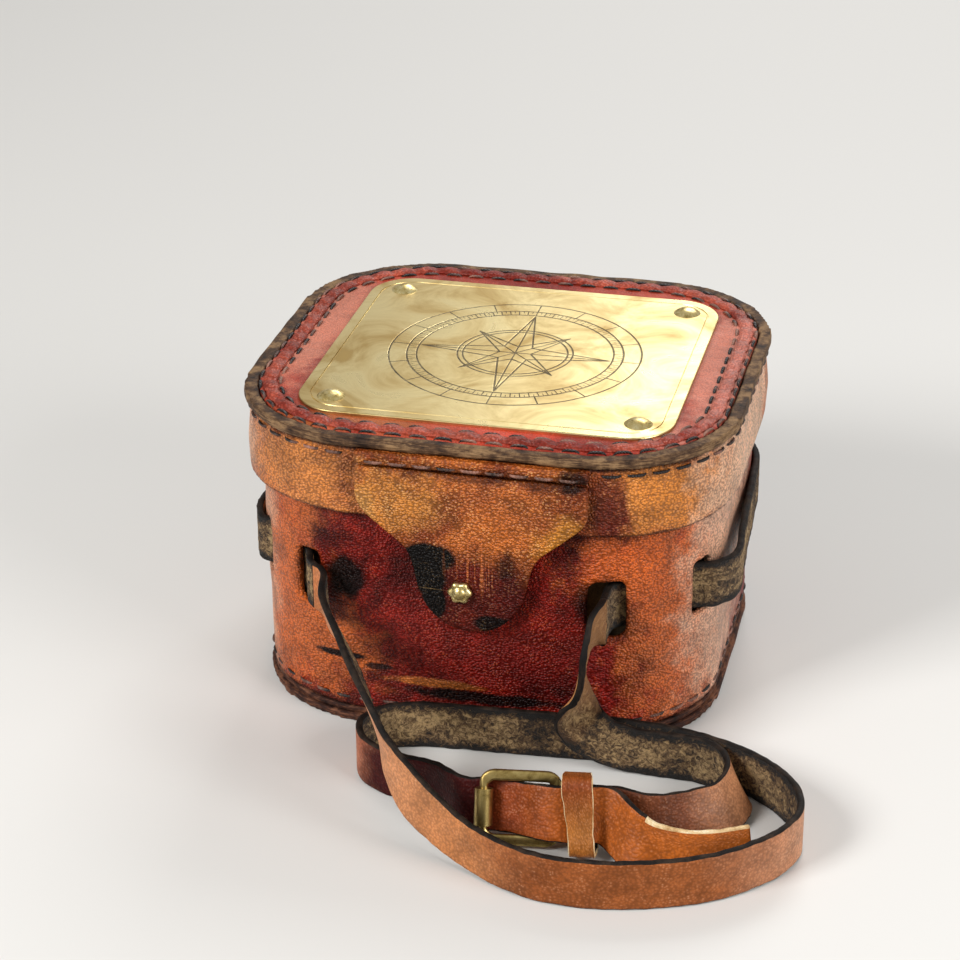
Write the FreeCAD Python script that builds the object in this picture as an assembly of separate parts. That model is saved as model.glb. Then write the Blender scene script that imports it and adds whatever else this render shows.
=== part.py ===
import FreeCAD, Part
import math
import os

from FreeCAD import Matrix, Placement, Rotation, Vector

# A small leather instrument case: a rounded box sewn from a wall and a base, a cap lid on a leather
# hinge, a closing flap on a brass stud, a brass plaque on the lid, and a buckled carrying strap.
# Millimetres, +Z up, the origin is the middle of the base on the surface that the case stands on.

# Body
body_width = 141.3
body_depth = 133.2
corner_radius = 41.0
wall_height = 83.7
wall_thickness = 2.6
base_thickness = 2.6
base_overhang = 0.9
welt_height = 2.0
welt_width = 4.6
face_gap = 0.3
seat_gap = 0.05
# Height, width and depth of the wall's outline, from its foot to its rim
wall_profile_shares = (
    (0.00, 0.987, 0.998),
    (0.30, 0.990, 1.000),
    (0.60, 1.000, 0.993),
    (0.79, 0.998, 0.983),
    (1.00, 0.981, 0.962),
)

# Strap and its slots
strap_width = 15.0
strap_thickness = 2.0
strap_height = 45.5
slot_side_gap = 1.2
slot_length = 8.6
wide_slot_length = 11.0
left_slot_angle = 27.5
right_slot_angle = 18.0
side_slot_angle = 65.5
strap_gap = 0.35
strap_joint_gap = 0.4
strap_lead = 3.0
back_bulge = 2.2

# Liner and pad
liner_thickness = 2.0
pad_thickness = 2.5
flange_thickness = 2.0

# Lid
skirt_thickness = 2.4
skirt_side_gap = 1.0
skirt_front_gap = 0.45
skirt_lap = 17.7
lip_overhang = 0.9
lip_height = 3.2
lip_width = 4.2
lid_clearance = 0.3
lining_thickness = 1.8
board_thickness = 2.2
panel_thickness = 2.8
braid_width = 4.8
braid_height = 1.3
braid_inset = 1.2
# Height, width and depth of the skirt's outline, from its lower edge to the lip
skirt_profile_shares = (
    (0.00, 1.000, 1.000),
    (0.40, 1.003, 1.003),
    (1.00, 0.989, 0.987),
)

# Plaque and rivets
plaque_side_gap = 7.4
plaque_end_gap = 4.92
plaque_radius = 13.8
plaque_thickness = 0.9
plaque_middle = (0.8, -1.2)
rivet_inset = 10.4
rivet_head_radius = 4.2
rivet_head_height = 1.7
rivet_shank_radius = 1.3
rivet_clearance = 0.05
burr_radius = 3.4
burr_thickness = 0.8

# Stitches
stitch_length = 4.4
stitch_pitch = 7.4
stitch_width = 1.0
stitch_height = 0.7
base_stitch_height = 3.4
lip_stitch_drop = 2.4

# Flap and stud
flap_middle = 3.3
flap_half_width = 34.2
flap_thickness = 2.2
flap_root_height = 4.2
flap_length = 50.2
flap_gap = 0.3
# Across from the middle line and down from the crease, from the top corner to the tip
flap_outline_shares = (
    (1.00, 0.00),
    (1.00, 0.17),
    (0.97, 0.25),
    (0.86, 0.33),
    (0.70, 0.42),
    (0.57, 0.50),
    (0.51, 0.60),
    (0.48, 0.70),
    (0.42, 0.82),
    (0.31, 0.92),
    (0.16, 0.985),
)
stud_offset = -2.8
stud_drop = 37.0
stud_head_radius = 3.4
stud_head_thickness = 2.4
stud_post_radius = 1.5
stud_hole_gap = 0.5
stud_slit_length = 9.0
stud_slit_width = 1.0
washer_radius = 4.2
washer_thickness = 0.8

# Rear hinge
hinge_width = 84.0
hinge_thickness = 2.0
hinge_leaf_height = 13.0
hinge_flex = 0.8
hinge_lift = 0.15

# How the strap crosses the wall at a slot: outward from its run inside the wall in shares of its
# thickness, and along the wall in shares of half a slot
left_mouth_shares = ((3.98, -1.25), (2.98, -0.55), (1.33, 0.10), (0.18, 0.90), (0.00, 1.90))
right_mouth_shares = (
    (4.68, -0.30), (3.18, -0.12), (1.78, 0.08), (0.60, 0.40), (0.00, 1.00), (0.00, 1.90)
)
side_mouth_shares = ((0.00, -1.90), (0.18, -0.90), (1.33, -0.10), (2.98, 0.60), (3.98, 1.50))

# Outward in shares of the bulge and back in shares of the straight side; round the back corners
side_bulge_shares = ((1.0, -0.55), (0.6, 0.0), (0.1, 0.8))
back_corner_shares = (0.78, 0.5, 0.22)

# Strap loop on the floor in front of the case
loop_span = 105.0
loop_reach = 80.0
floor_gap = 0.1
# Across and forward of the case, from the front of the loop round its right bend, back along the
# case, round the left bend and in again
outer_route_shares = (
    (0.257, 0.936),
    (0.362, 0.988),
    (0.486, 1.000),
    (0.657, 0.956),
    (0.790, 0.881),
    (0.895, 0.775),
    (0.971, 0.644),
    (1.000, 0.531),
    (0.986, 0.406),
    (0.924, 0.281),
    (0.848, 0.200),
    (0.743, 0.131),
    (0.648, 0.094),
    (0.543, 0.074),
)
inner_route_shares = (
    (0.543, 0.074),
    (0.429, 0.070),
    (0.286, 0.084),
    (0.143, 0.096),
    (0.000, 0.106),
    (-0.114, 0.122),
    (-0.200, 0.170),
    (-0.243, 0.269),
    (-0.219, 0.381),
    (-0.143, 0.456),
    (-0.038, 0.494),
)
# Across, forward and down from the left slot to the loop's start, and the way of the upper edge
left_drop_shares = (
    (0.10, 0.16, 0.05, -0.14, -0.26, 0.95),
    (0.22, 0.32, 0.15, -0.22, -0.42, 0.90),
    (0.34, 0.49, 0.32, -0.20, -0.40, 0.92),
    (0.43, 0.60, 0.47, -0.15, -0.26, 0.95),
    (0.50, 0.69, 0.62, -0.06, -0.05, 1.00),
    (0.60, 0.78, 0.77, 0.00, 0.10, 1.00),
    (0.73, 0.86, 0.895, 0.00, 0.08, 1.00),
    (0.86, 0.93, 0.97, 0.00, 0.00, 1.00),
)
# Across, forward and down from the right slot to the run on the floor, and the way of the upper
# edge: the strap turns over its lower edge, hangs edge on, then twists to face forward
right_drop_shares = (
    (-0.10, 0.90, 0.06, 0.05, -0.60, 0.80),
    (-0.15, 1.15, 0.14, 0.09, -0.89, 0.45),
    (-0.19, 1.22, 0.24, 0.14, -0.97, 0.12),
    (-0.22, 1.21, 0.36, 0.14, -0.98, 0.02),
    (-0.27, 1.18, 0.50, -0.02, -0.98, 0.00),
    (-0.31, 1.13, 0.63, -0.50, -0.85, -0.05),
    (-0.25, 1.08, 0.79, -0.85, -0.40, -0.30),
    (0.04, 1.05, 0.92, -0.65, -0.10, -0.75),
    (0.46, 1.02, 0.985, -0.18, 0.00, -1.00),
    (1.00, 1.00, 1.00, 0.00, 0.00, -1.00),
)
# Across and forward in shares of the loop, up in shares of the strap's width, and the upper edge
chape_route_shares = (
    (0.590, 0.131, 0, 0, 0, 1),
    (0.686, 0.140, 0, -0.10, 0.05, 1),
    (0.766, 0.192, 0, -0.33, 0.10, 0.93),
    (0.812, 0.292, -0.010, -0.50, 0.18, 0.83),
    (0.796, 0.412, -0.015, -0.36, 0.42, 0.83),
    (0.712, 0.512, 0, -0.10, 0.45, 0.88),
    (0.610, 0.582, 0.060, 0, 0.40, 0.92),
)
tip_route_shares = (
    (0.610, 0.730, 0.060, 0.42),
    (0.700, 0.712, 0.010, 0.45),
    (0.795, 0.670, 0.000, 0.45),
    (0.882, 0.612, 0.000, 0.45),
)
tip_taper_share = 0.66
tip_taper_start_share = 0.74
# How the tip threads the buckle: along it in shares of half its length, then out of it in shares of
# the place behind the roller and of the place over the folded end
tip_thread_shares = (
    (-1.45, 1.08, 0.00),
    (-1.00, 1.00, 0.00),
    (-0.50, 0.72, 0.00),
    (0.10, 0.00, 0.05),
    (0.55, 0.00, 0.72),
    (1.00, 0.00, 1.00),
)

# Buckle
buckle_across_share = 0.273
buckle_forward_share = 0.655
buckle_height = 10.9
buckle_lean = 22.0
buckle_turn = 8.0
buckle_length = 20.4
buckle_opening = 15.8
buckle_bar_radius = 1.2
buckle_corner_radius = 3.0
roller_radius = 2.6
roller_length = 10.4
roller_clearance = 0.08
chape_width = 13.6
chape_length = 12.6
chape_gap = 0.15
chape_taper_start_share = 0.7
chape_swing = -3.4
tip_settle = 2.0
prong_radius = 0.9
prong_ring_radius = 2.1
prong_ring_width = 2.6
prong_slot_gap = 0.6
prong_length = 19.0
prong_swing = 19.0
keeper_width = 8.4
keeper_thickness = 1.2
keeper_gap = 0.6
keeper_setback = 2.4
keeper_corner_radius = 3.1

cut_overrun = 5.0

# Derived levels
base_top = base_thickness
wall_foot = base_top + welt_height
wall_rim = wall_foot + wall_height
lining_level = wall_rim + lid_clearance
board_level = lining_level + lining_thickness
panel_level = board_level + board_thickness
lip_top = panel_level + panel_thickness
lip_level = lip_top - lip_height
skirt_level = wall_rim - skirt_lap
skirt_height = lip_level - skirt_level
crease_level = lip_level - flap_root_height
front_y = -body_depth / 2
corner_x = body_width / 2 - corner_radius
corner_y = body_depth / 2 - corner_radius
skirt_width = body_width + 2 * (skirt_side_gap + skirt_thickness)
floor_strap = strap_width / 2 + floor_gap

os.makedirs("parts", exist_ok=True)


def save(name, *solids):
    shape = solids[0] if len(solids) == 1 else Part.makeCompound(list(solids))
    shape.exportStep("parts/" + name + ".step")
    print(name, len(shape.Solids), "solids", round(shape.Volume, 1), "mm3")


def outline(width, depth, radius, level, middle=(0, 0)):
    """A rounded rectangle at one level, four straights and four quarter arcs."""
    radius = min(radius, width / 2, depth / 2)
    edges = []
    corners = []
    for quarter, (across, along) in enumerate(((1, 1), (-1, 1), (-1, -1), (1, -1))):
        centre = Vector(
            middle[0] + across * (width / 2 - radius), middle[1] + along * (depth / 2 - radius), level
        )
        points = []
        for turn in (0, 45, 90):
            angle = math.radians(90 * quarter + turn)
            points.append(centre + Vector(math.cos(angle), math.sin(angle), 0) * radius)
        corners.append(points)
    for index, points in enumerate(corners):
        edges.append(Part.Arc(*points).toShape())
        following = corners[(index + 1) % len(corners)][0]
        if points[2].distanceToPoint(following) > 1e-6:
            edges.append(Part.LineSegment(points[2], following).toShape())
    return Part.Wire(edges)


def slab(width, depth, radius, low, high, middle=(0, 0)):
    """A rounded plate between two levels."""
    return Part.Face(outline(width, depth, radius, low, middle)).extrude(Vector(0, 0, high - low))


def ring(width, depth, radius, band, low, high, middle=(0, 0)):
    """A rounded plate with its middle cut out, so that a band of one width is left."""
    hole = slab(
        width - 2 * band, depth - 2 * band, radius - band, low - cut_overrun, high + cut_overrun, middle
    )
    return slab(width, depth, radius, low, high, middle).cut(hole)


def tapered(profile, width, depth, radius, low, height, inset):
    """A solid through the outlines of a profile, each brought in by the same inset."""
    wires = []
    for up, across, along in profile:
        wires.append(
            outline(width * across - 2 * inset, depth * along - 2 * inset, radius - inset, low + height * up)
        )
    return Part.makeLoft(wires, True, True)


def profile_at(profile, low, height, level, column):
    """The width or depth share of a profile at a level, between its neighbouring outlines."""
    up = min(max((level - low) / height, 0), 1)
    for first, second in zip(profile, profile[1:]):
        if up <= second[0]:
            part = (up - first[0]) / (second[0] - first[0])
            return first[column] + (second[column] - first[column]) * part
    return profile[-1][column]


def wall_half_depth(level):
    return body_depth * profile_at(wall_profile_shares, wall_foot, wall_height, level, 2) / 2


skirt_depth = 2 * (wall_half_depth(skirt_level) + skirt_front_gap + skirt_thickness)
lip_outer_width = skirt_width + 2 * lip_overhang
lip_outer_depth = skirt_depth + 2 * lip_overhang
lip_radius = corner_radius


def skirt_half_depth(level):
    return skirt_depth * profile_at(skirt_profile_shares, skirt_level, skirt_height, level, 2) / 2


strap_corner_step = (body_depth / 2 - wall_half_depth(strap_height)) / 2 + (
    body_width * (1 - profile_at(wall_profile_shares, wall_foot, wall_height, strap_height, 1)) / 2
)


def corner_point(side, along_side, radius, angle, level):
    """A point about a corner's centre; the angle runs from straight forward or back to sideways."""
    turn = math.radians(angle)
    return Vector(
        side * (corner_x + radius * math.sin(turn)),
        along_side * (corner_y + radius * math.cos(turn)),
        level,
    )


def smooth(points):
    curve = Part.BSplineCurve()
    curve.interpolate([Vector(*point) for point in points])
    return curve


def between(first, last, steps):
    return [first + (last - first) * step / steps for step in range(steps + 1)]


def standing_band(curve, first, last, steps, low):
    """A length of strap that stands on its edge along a plan curve, between two places on it."""
    sides = ([], [])
    for place in between(first, last, steps):
        spot = curve.value(place)
        way = curve.tangent(place)[0]
        across = Vector(-way.y, way.x, 0).normalize() * (strap_thickness / 2)
        sides[0].append(spot + across + Vector(0, 0, low))
        sides[1].append(spot - across + Vector(0, 0, low))
    edges = [
        smooth(sides[0]).toShape(),
        Part.LineSegment(sides[0][-1], sides[1][-1]).toShape(),
        smooth(sides[1][::-1]).toShape(),
        Part.LineSegment(sides[1][0], sides[0][0]).toShape(),
    ]
    return Part.Face(Part.Wire(edges)).extrude(Vector(0, 0, strap_width))


def turned_route(stations):
    """Curves of a strap's middle and of its upper edge, through points and the edge's way at each."""
    curve = smooth([point for point, upper in stations])
    marks = [Vector(*point) + Vector(*upper).normalize() * strap_width for point, upper in stations]
    places = [curve.parameter(Vector(*point)) for point, upper in stations]
    edge_curve = Part.BSplineCurve()
    edge_curve.interpolate(marks, Parameters=places)
    return curve, edge_curve, places


def turned_band(route, first, last, steps, upper_shares=None, lower_shares=None):
    """A length of strap that leans and turns along its route, between two places on it.

    The shares, one for each step, narrow its upper and its lower half.
    """
    curve, edge_curve, places = route
    wires = []
    for index, place in enumerate(between(first, last, steps)):
        spot = curve.value(place)
        way = curve.tangent(place)[0].normalize()
        upper = edge_curve.value(place) - spot
        upper = (upper - way * upper.dot(way)).normalize()
        side = way.cross(upper).normalize() * (strap_thickness / 2)
        above = upper * (strap_width / 2 * (upper_shares[index] if upper_shares else 1))
        below = upper * (strap_width / 2 * (lower_shares[index] if lower_shares else 1))
        corners = [spot + above + side, spot - below + side, spot - below - side, spot + above - side]
        wires.append(Part.makePolygon(corners + corners[:1]))
    return Part.makeLoft(wires, True, True)


def leading(curve, place, level, backward=False):
    """Stations that carry a standing band straight on from one of its ends, the nearest first."""
    way = curve.tangent(place)[0].normalize() * (-1 if backward else 1)
    spot = curve.value(place) + Vector(0, 0, level)
    return [(tuple(spot + way * reach), (0, 0, 1)) for reach in between(strap_joint_gap, strap_lead, 2)]


def stitch(point, along, outward):
    """One stitch: a flat-backed bar lying on a surface."""
    along = along.normalize()
    outward = outward.normalize()
    side = outward.cross(along)
    bar = Part.makeBox(stitch_length, stitch_width, stitch_height)
    bar.translate(Vector(-stitch_length / 2, -stitch_width / 2, seat_gap))
    frame = Matrix(
        along.x, side.x, outward.x, point.x,
        along.y, side.y, outward.y, point.y,
        along.z, side.z, outward.z, point.z,
    )
    return bar.transformGeometry(frame)


def stitch_row(wire, outward):
    """Stitches at an even pitch along a wire; outward gives the surface's normal at a point."""
    count = max(int(round(wire.Length / stitch_pitch)), 1)
    points = wire.discretize(4 * count + 1)
    row = []
    for index in range(count):
        before, middle, after = (points[4 * index + step] for step in (1, 2, 3))
        along = after - before
        row.append(stitch(middle, along, outward(middle, along)))
    return row


def facing_up(point, along):
    return Vector(0, 0, 1)


def facing_out(point, along):
    side = Vector(along.y, -along.x, 0)
    return side if side.dot(Vector(point.x, point.y, 0)) > 0 else side * -1


def cylinder(radius, length, base, way):
    return Part.makeCylinder(radius, length, base, way)


# Base, welt and wall
foot_width = body_width * wall_profile_shares[0][1]
foot_depth = body_depth * wall_profile_shares[0][2]
base_panel = slab(
    foot_width + 2 * base_overhang, foot_depth + 2 * base_overhang, corner_radius + base_overhang, 0, base_top
)
base_welt = ring(foot_width, foot_depth, corner_radius, welt_width, base_top, wall_foot)
wall_outer = tapered(wall_profile_shares, body_width, body_depth, corner_radius, wall_foot, wall_height, 0)
wall_inner = tapered(
    wall_profile_shares, body_width, body_depth, corner_radius, wall_foot, wall_height, wall_thickness
)
body_wall = wall_outer.cut(wall_inner)

slot_high = strap_width + 2 * slot_side_gap
slot_places = (
    (-1, -1, left_slot_angle, slot_length),
    (1, -1, right_slot_angle, wide_slot_length),
    (-1, -1, side_slot_angle, slot_length),
    (1, -1, side_slot_angle, slot_length),
)
for side, along_side, angle, length in slot_places:
    cutter = Part.makeBox(length, 2 * (wall_thickness + cut_overrun), slot_high)
    cutter.translate(Vector(-length / 2, -(wall_thickness + cut_overrun), strap_height - slot_high / 2))
    spot = corner_point(side, along_side, corner_radius - wall_thickness / 2, angle, 0)
    turn = side * angle if along_side < 0 else 180 - side * angle
    cutter.Placement = Placement(spot, Rotation(Vector(0, 0, 1), turn)).multiply(cutter.Placement)
    body_wall = body_wall.cut(cutter)

# Liner and pad
cavity = strap_thickness + 2 * strap_gap
liner_inset = wall_thickness + cavity
liner_low_width = body_width * wall_profile_shares[-1][1]
liner_low_depth = body_depth * wall_profile_shares[-1][2]
liner_width = liner_low_width - 2 * liner_inset
liner_depth = liner_low_depth - 2 * liner_inset
liner_radius = corner_radius - liner_inset
liner_top = wall_rim
flange_level = liner_top - flange_thickness
flange_width = liner_low_width - 2 * wall_thickness - 2 * seat_gap
flange_depth = liner_low_depth - 2 * wall_thickness - 2 * seat_gap
liner_shell = ring(liner_width, liner_depth, liner_radius, liner_thickness, base_top, liner_top)
liner_flange = ring(
    flange_width,
    flange_depth,
    corner_radius - wall_thickness - seat_gap,
    liner_inset - wall_thickness + liner_thickness / 2,
    flange_level,
    liner_top,
)
liner_shell = liner_shell.fuse(liner_flange).removeSplitter()
pad_inset = liner_thickness + face_gap
base_pad = slab(
    liner_width - 2 * pad_inset, liner_depth - 2 * pad_inset, liner_radius - pad_inset, base_top,
    base_top + pad_thickness,
)

# Closing stud through the front wall
stud_x = flap_middle + stud_offset
stud_z = crease_level - stud_drop
flap_back_y = -(skirt_half_depth(skirt_level + skirt_height * skirt_profile_shares[1][0]) + flap_gap)
flap_front_y = flap_back_y - flap_thickness
stud_inner_y = wall_thickness - min(
    wall_half_depth(stud_z - washer_radius), wall_half_depth(stud_z + washer_radius)
)
washer_y = stud_inner_y + seat_gap
post_end_y = washer_y + washer_thickness
head_y = flap_front_y - stud_hole_gap
forward = Vector(0, -1, 0)
stud_axis = Vector(stud_x, 0, stud_z)
body_wall = body_wall.cut(
    cylinder(
        stud_post_radius + rivet_clearance, wall_thickness + 2 * cut_overrun,
        stud_axis + Vector(0, stud_inner_y + cut_overrun, 0), forward,
    )
)
stud_post = cylinder(
    stud_post_radius, post_end_y - head_y, stud_axis + Vector(0, post_end_y, 0), forward
)
stud_head = cylinder(
    stud_head_radius, stud_head_thickness, stud_axis + Vector(0, head_y, 0), forward
)
rim_edges = [edge for edge in stud_head.Edges if edge.BoundBox.YLength < 1e-6]
stud_head = stud_head.makeFillet(stud_head_thickness / 3, rim_edges)
closure_stud = stud_post.fuse(stud_head).removeSplitter()
stud_washer = cylinder(
    washer_radius, washer_thickness, stud_axis + Vector(0, post_end_y, 0), forward
).cut(
    cylinder(
        stud_post_radius + rivet_clearance, washer_thickness + 2 * cut_overrun,
        stud_axis + Vector(0, post_end_y + cut_overrun, 0), forward,
    )
)

# Lid: skirt, lip, board, panel, lining
skirt_outer = tapered(
    skirt_profile_shares, skirt_width, skirt_depth, lip_radius, skirt_level, skirt_height, 0
)
skirt_inner = tapered(
    skirt_profile_shares, skirt_width, skirt_depth, lip_radius, skirt_level, skirt_height, skirt_thickness
)
lid_skirt = skirt_outer.cut(skirt_inner)
lid_welt = ring(lip_outer_width, lip_outer_depth, lip_radius + lip_overhang, lip_width, lip_level, lip_top)
panel_width = lip_outer_width - 2 * lip_width
panel_depth = lip_outer_depth - 2 * lip_width
panel_radius = lip_radius + lip_overhang - lip_width
top_share = skirt_profile_shares[-1]
inside_width = skirt_width * top_share[1] - 2 * (skirt_thickness + face_gap)
inside_depth = skirt_depth * top_share[2] - 2 * (skirt_thickness + face_gap)
inside_radius = lip_radius - skirt_thickness - face_gap
lid_panel = slab(panel_width, panel_depth, panel_radius, panel_level, lip_top)
lid_board = slab(inside_width, inside_depth, inside_radius, board_level, min(panel_level, lip_level))
lid_lining = slab(inside_width, inside_depth, inside_radius, lining_level, board_level)
braid_outer_width = panel_width - 2 * braid_inset
braid_outer_depth = panel_depth - 2 * braid_inset
lid_braid = ring(
    braid_outer_width, braid_outer_depth, panel_radius - braid_inset, braid_width, lip_top,
    lip_top + braid_height,
)

# Plaque and its rivets, burred over inside the lid
inner_row_inset = braid_inset + braid_width + stitch_width / 2 + 2 * seat_gap
sewn_inset = inner_row_inset + stitch_width / 2
plaque_width = panel_width - 2 * (sewn_inset + plaque_side_gap)
plaque_depth = panel_depth - 2 * (sewn_inset + plaque_end_gap)
brass_plaque = slab(
    plaque_width, plaque_depth, plaque_radius, lip_top, lip_top + plaque_thickness, plaque_middle
)
rivets = []
burrs = []
up = Vector(0, 0, 1)
burr_top = lining_level
shank_low = burr_top - burr_thickness
plaque_top = lip_top + plaque_thickness
dome_radius = (rivet_head_radius ** 2 + rivet_head_height ** 2) / (2 * rivet_head_height)
for across in (-1, 1):
    for along in (-1, 1):
        spot = Vector(
            plaque_middle[0] + across * (plaque_width / 2 - rivet_inset),
            plaque_middle[1] + along * (plaque_depth / 2 - rivet_inset),
            0,
        )
        hole = cylinder(
            rivet_shank_radius + rivet_clearance, plaque_top - shank_low + 2 * cut_overrun,
            spot + up * (shank_low - cut_overrun), up,
        )
        brass_plaque = brass_plaque.cut(hole)
        lid_panel = lid_panel.cut(hole)
        lid_board = lid_board.cut(hole)
        lid_lining = lid_lining.cut(hole)
        ball = Part.makeSphere(dome_radius, spot + up * (plaque_top + rivet_head_height - dome_radius))
        cap = ball.common(cylinder(dome_radius, rivet_head_height, spot + up * plaque_top, up))
        shank = cylinder(rivet_shank_radius, plaque_top - shank_low, spot + up * shank_low, up)
        rivets.append(cap.fuse(shank).removeSplitter())
        burr = cylinder(burr_radius, burr_thickness, spot + up * shank_low, up)
        burrs.append(burr.cut(hole))

# Stitch rows
outer_row_inset = (braid_inset - seat_gap) / 2
lid_stitching_outer = stitch_row(
    outline(
        panel_width - 2 * outer_row_inset, panel_depth - 2 * outer_row_inset, panel_radius - outer_row_inset,
        lip_top,
    ),
    facing_up,
)
lid_stitching_inner = stitch_row(
    outline(
        panel_width - 2 * inner_row_inset, panel_depth - 2 * inner_row_inset, panel_radius - inner_row_inset,
        lip_top,
    ),
    facing_up,
)
base_row_level = wall_foot + base_stitch_height
base_share_width = profile_at(wall_profile_shares, wall_foot, wall_height, base_row_level, 1)
base_share_depth = profile_at(wall_profile_shares, wall_foot, wall_height, base_row_level, 2)
base_stitching = stitch_row(
    outline(
        body_width * base_share_width + 2 * seat_gap, body_depth * base_share_depth + 2 * seat_gap,
        corner_radius, base_row_level,
    ),
    facing_out,
)
lip_row_level = lip_level - lip_stitch_drop
lip_share_width = profile_at(skirt_profile_shares, skirt_level, skirt_height, lip_row_level, 1)
lip_share_depth = profile_at(skirt_profile_shares, skirt_level, skirt_height, lip_row_level, 2)
lip_row = outline(
    skirt_width * lip_share_width + 2 * seat_gap, skirt_depth * lip_share_depth + 2 * seat_gap,
    lip_radius, lip_row_level,
)
skirt_stitching = []
for bar in stitch_row(lip_row, facing_out):
    middle = bar.BoundBox.Center
    under_flap = middle.y < 0 and abs(middle.x - flap_middle) < flap_half_width + stitch_length
    if not under_flap:
        skirt_stitching.append(bar)

# Flap: a root sewn under the lip, and the leaf that lifts off the stud
root_thickness = -flap_front_y - skirt_half_depth(crease_level) - seat_gap
flap_root = Part.makeBox(2 * flap_half_width, root_thickness, flap_root_height)
flap_root.translate(Vector(flap_middle - flap_half_width, flap_front_y, crease_level))
flap_points = []
for across, down in flap_outline_shares:
    flap_points.append(Vector(flap_half_width * across, 0, -flap_length * down))
flap_tip = Vector(0, 0, -flap_length)
mirrored = [Vector(-point.x, 0, point.z) for point in flap_points]
edge_curve = Part.BSplineCurve()
edge_curve.interpolate(flap_points[1:] + [flap_tip] + mirrored[:0:-1])
flap_wire = Part.Wire([
    Part.LineSegment(mirrored[0], flap_points[0]).toShape(),
    Part.LineSegment(flap_points[0], flap_points[1]).toShape(),
    edge_curve.toShape(),
    Part.LineSegment(mirrored[1], mirrored[0]).toShape(),
])
closure_flap = Part.Face(flap_wire).extrude(Vector(0, flap_thickness, 0))
closure_flap.translate(Vector(flap_middle, flap_front_y, crease_level - seat_gap))
flap_hole = cylinder(
    stud_post_radius + stud_hole_gap, flap_thickness + 2 * cut_overrun,
    stud_axis + Vector(0, flap_back_y + cut_overrun, 0), forward,
)
flap_slit = Part.makeBox(stud_slit_width, flap_thickness + 2 * cut_overrun, stud_slit_length)
flap_slit.translate(Vector(stud_x - stud_slit_width / 2, flap_front_y - cut_overrun, stud_z))
closure_flap = closure_flap.cut(flap_hole).cut(flap_slit)
flap_row_level = crease_level + flap_root_height / 3
row_half = flap_half_width - stitch_length / 2
flap_row = Part.Wire([
    Part.LineSegment(
        Vector(flap_middle - row_half, flap_front_y, flap_row_level),
        Vector(flap_middle + row_half, flap_front_y, flap_row_level),
    ).toShape()
])
flap_stitching = stitch_row(flap_row, lambda point, along: Vector(0, -1, 0))

# Rear hinge: one leather strip, a leaf sewn on the body and a leaf sewn on the skirt
hinge_level = skirt_level
lower_top = hinge_level - hinge_flex / 2
upper_low = hinge_level + hinge_flex / 2
lower_y = max(wall_half_depth(lower_top), wall_half_depth(lower_top - hinge_leaf_height)) + hinge_lift
upper_y = skirt_half_depth(upper_low + hinge_leaf_height / 2) + face_gap
hinge_y = upper_y + hinge_thickness / 2


def hinge_leaf(low, inner_y):
    leaf = Part.makeBox(hinge_width, hinge_thickness, hinge_leaf_height)
    leaf.translate(Vector(-hinge_width / 2, inner_y, low))
    return leaf


def leaf_row(low, inner_y):
    half = hinge_width / 2 - stitch_length
    level = low + hinge_leaf_height / 2
    line = Part.LineSegment(
        Vector(-half, inner_y + hinge_thickness, level), Vector(half, inner_y + hinge_thickness, level)
    )
    return stitch_row(Part.Wire([line.toShape()]), lambda point, along: Vector(0, 1, 0))


hinge_leaf_lower = hinge_leaf(lower_top - hinge_leaf_height, lower_y)
hinge_leaf_upper = hinge_leaf(upper_low, upper_y)
hinge_stitches_lower = leaf_row(lower_top - hinge_leaf_height, lower_y)
hinge_stitches_upper = leaf_row(upper_low, upper_y)

# Strap round the back, in at the side slots and out at the front ones
strap_low = strap_height - strap_width / 2
inside_run = corner_radius - wall_thickness - strap_gap - strap_thickness / 2
outside_run = corner_radius + strap_gap + strap_thickness / 2
slot_half_angle = math.degrees(slot_length / 2 / corner_radius)


def slot_route(side, front_angle, mouth_shares):
    """From the mouth of a front slot, inside round the corner, to outside the side slot."""
    places = []
    for out, along in mouth_shares:
        places.append((inside_run + out * strap_thickness, front_angle + along * slot_half_angle))
    for out, along in side_mouth_shares:
        places.append((inside_run + out * strap_thickness, side_slot_angle + along * slot_half_angle))
    route = []
    for radius, angle in places:
        point = corner_point(side, -1, radius, angle, 0)
        route.append((point.x - side * strap_corner_step, point.y + strap_corner_step))
    return route


left_route = slot_route(-1, left_slot_angle, left_mouth_shares)
right_route = slot_route(1, right_slot_angle, right_mouth_shares)
side_x = body_width / 2 + strap_gap + strap_thickness / 2
back_y = body_depth / 2 + strap_gap + strap_thickness / 2
back_halves = []
for side, half in ((-1, left_route), (1, right_route)):
    run = list(half)
    for bulge_share, along_share in side_bulge_shares:
        run.append((side * (side_x + back_bulge * bulge_share), corner_y * along_share))
    for angle_share in back_corner_shares:
        point = corner_point(side, 1, outside_run + strap_gap, 90 * angle_share, 0)
        run.append((point.x, point.y))
    back_halves.append(run)
back_curve = smooth([(x, y, 0) for x, y in back_halves[0] + [(0, back_y)] + back_halves[1][::-1]])
left_end, right_end = back_curve.FirstParameter, back_curve.LastParameter
strap_back = standing_band(back_curve, left_end, right_end, 300, strap_low)


# Strap on the floor, round its two bends
def loop_point(across, ahead, level=0):
    return (loop_span * across, front_y - loop_reach * ahead, level)


outer_points = [loop_point(*share) for share in outer_route_shares]
inner_points = [loop_point(*share) for share in inner_route_shares[1:]]
loop_curve = smooth(outer_points + inner_points)
loop_start, loop_end = loop_curve.FirstParameter, loop_curve.LastParameter
loop_joint = loop_curve.parameter(Vector(*outer_points[-1]))
past_joint = loop_curve.parameterAtDistance(strap_joint_gap, loop_joint)
strap_outer_run = standing_band(loop_curve, loop_start, loop_joint, 80, floor_gap)
strap_front_run = standing_band(loop_curve, past_joint, loop_end, 60, floor_gap)


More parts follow.
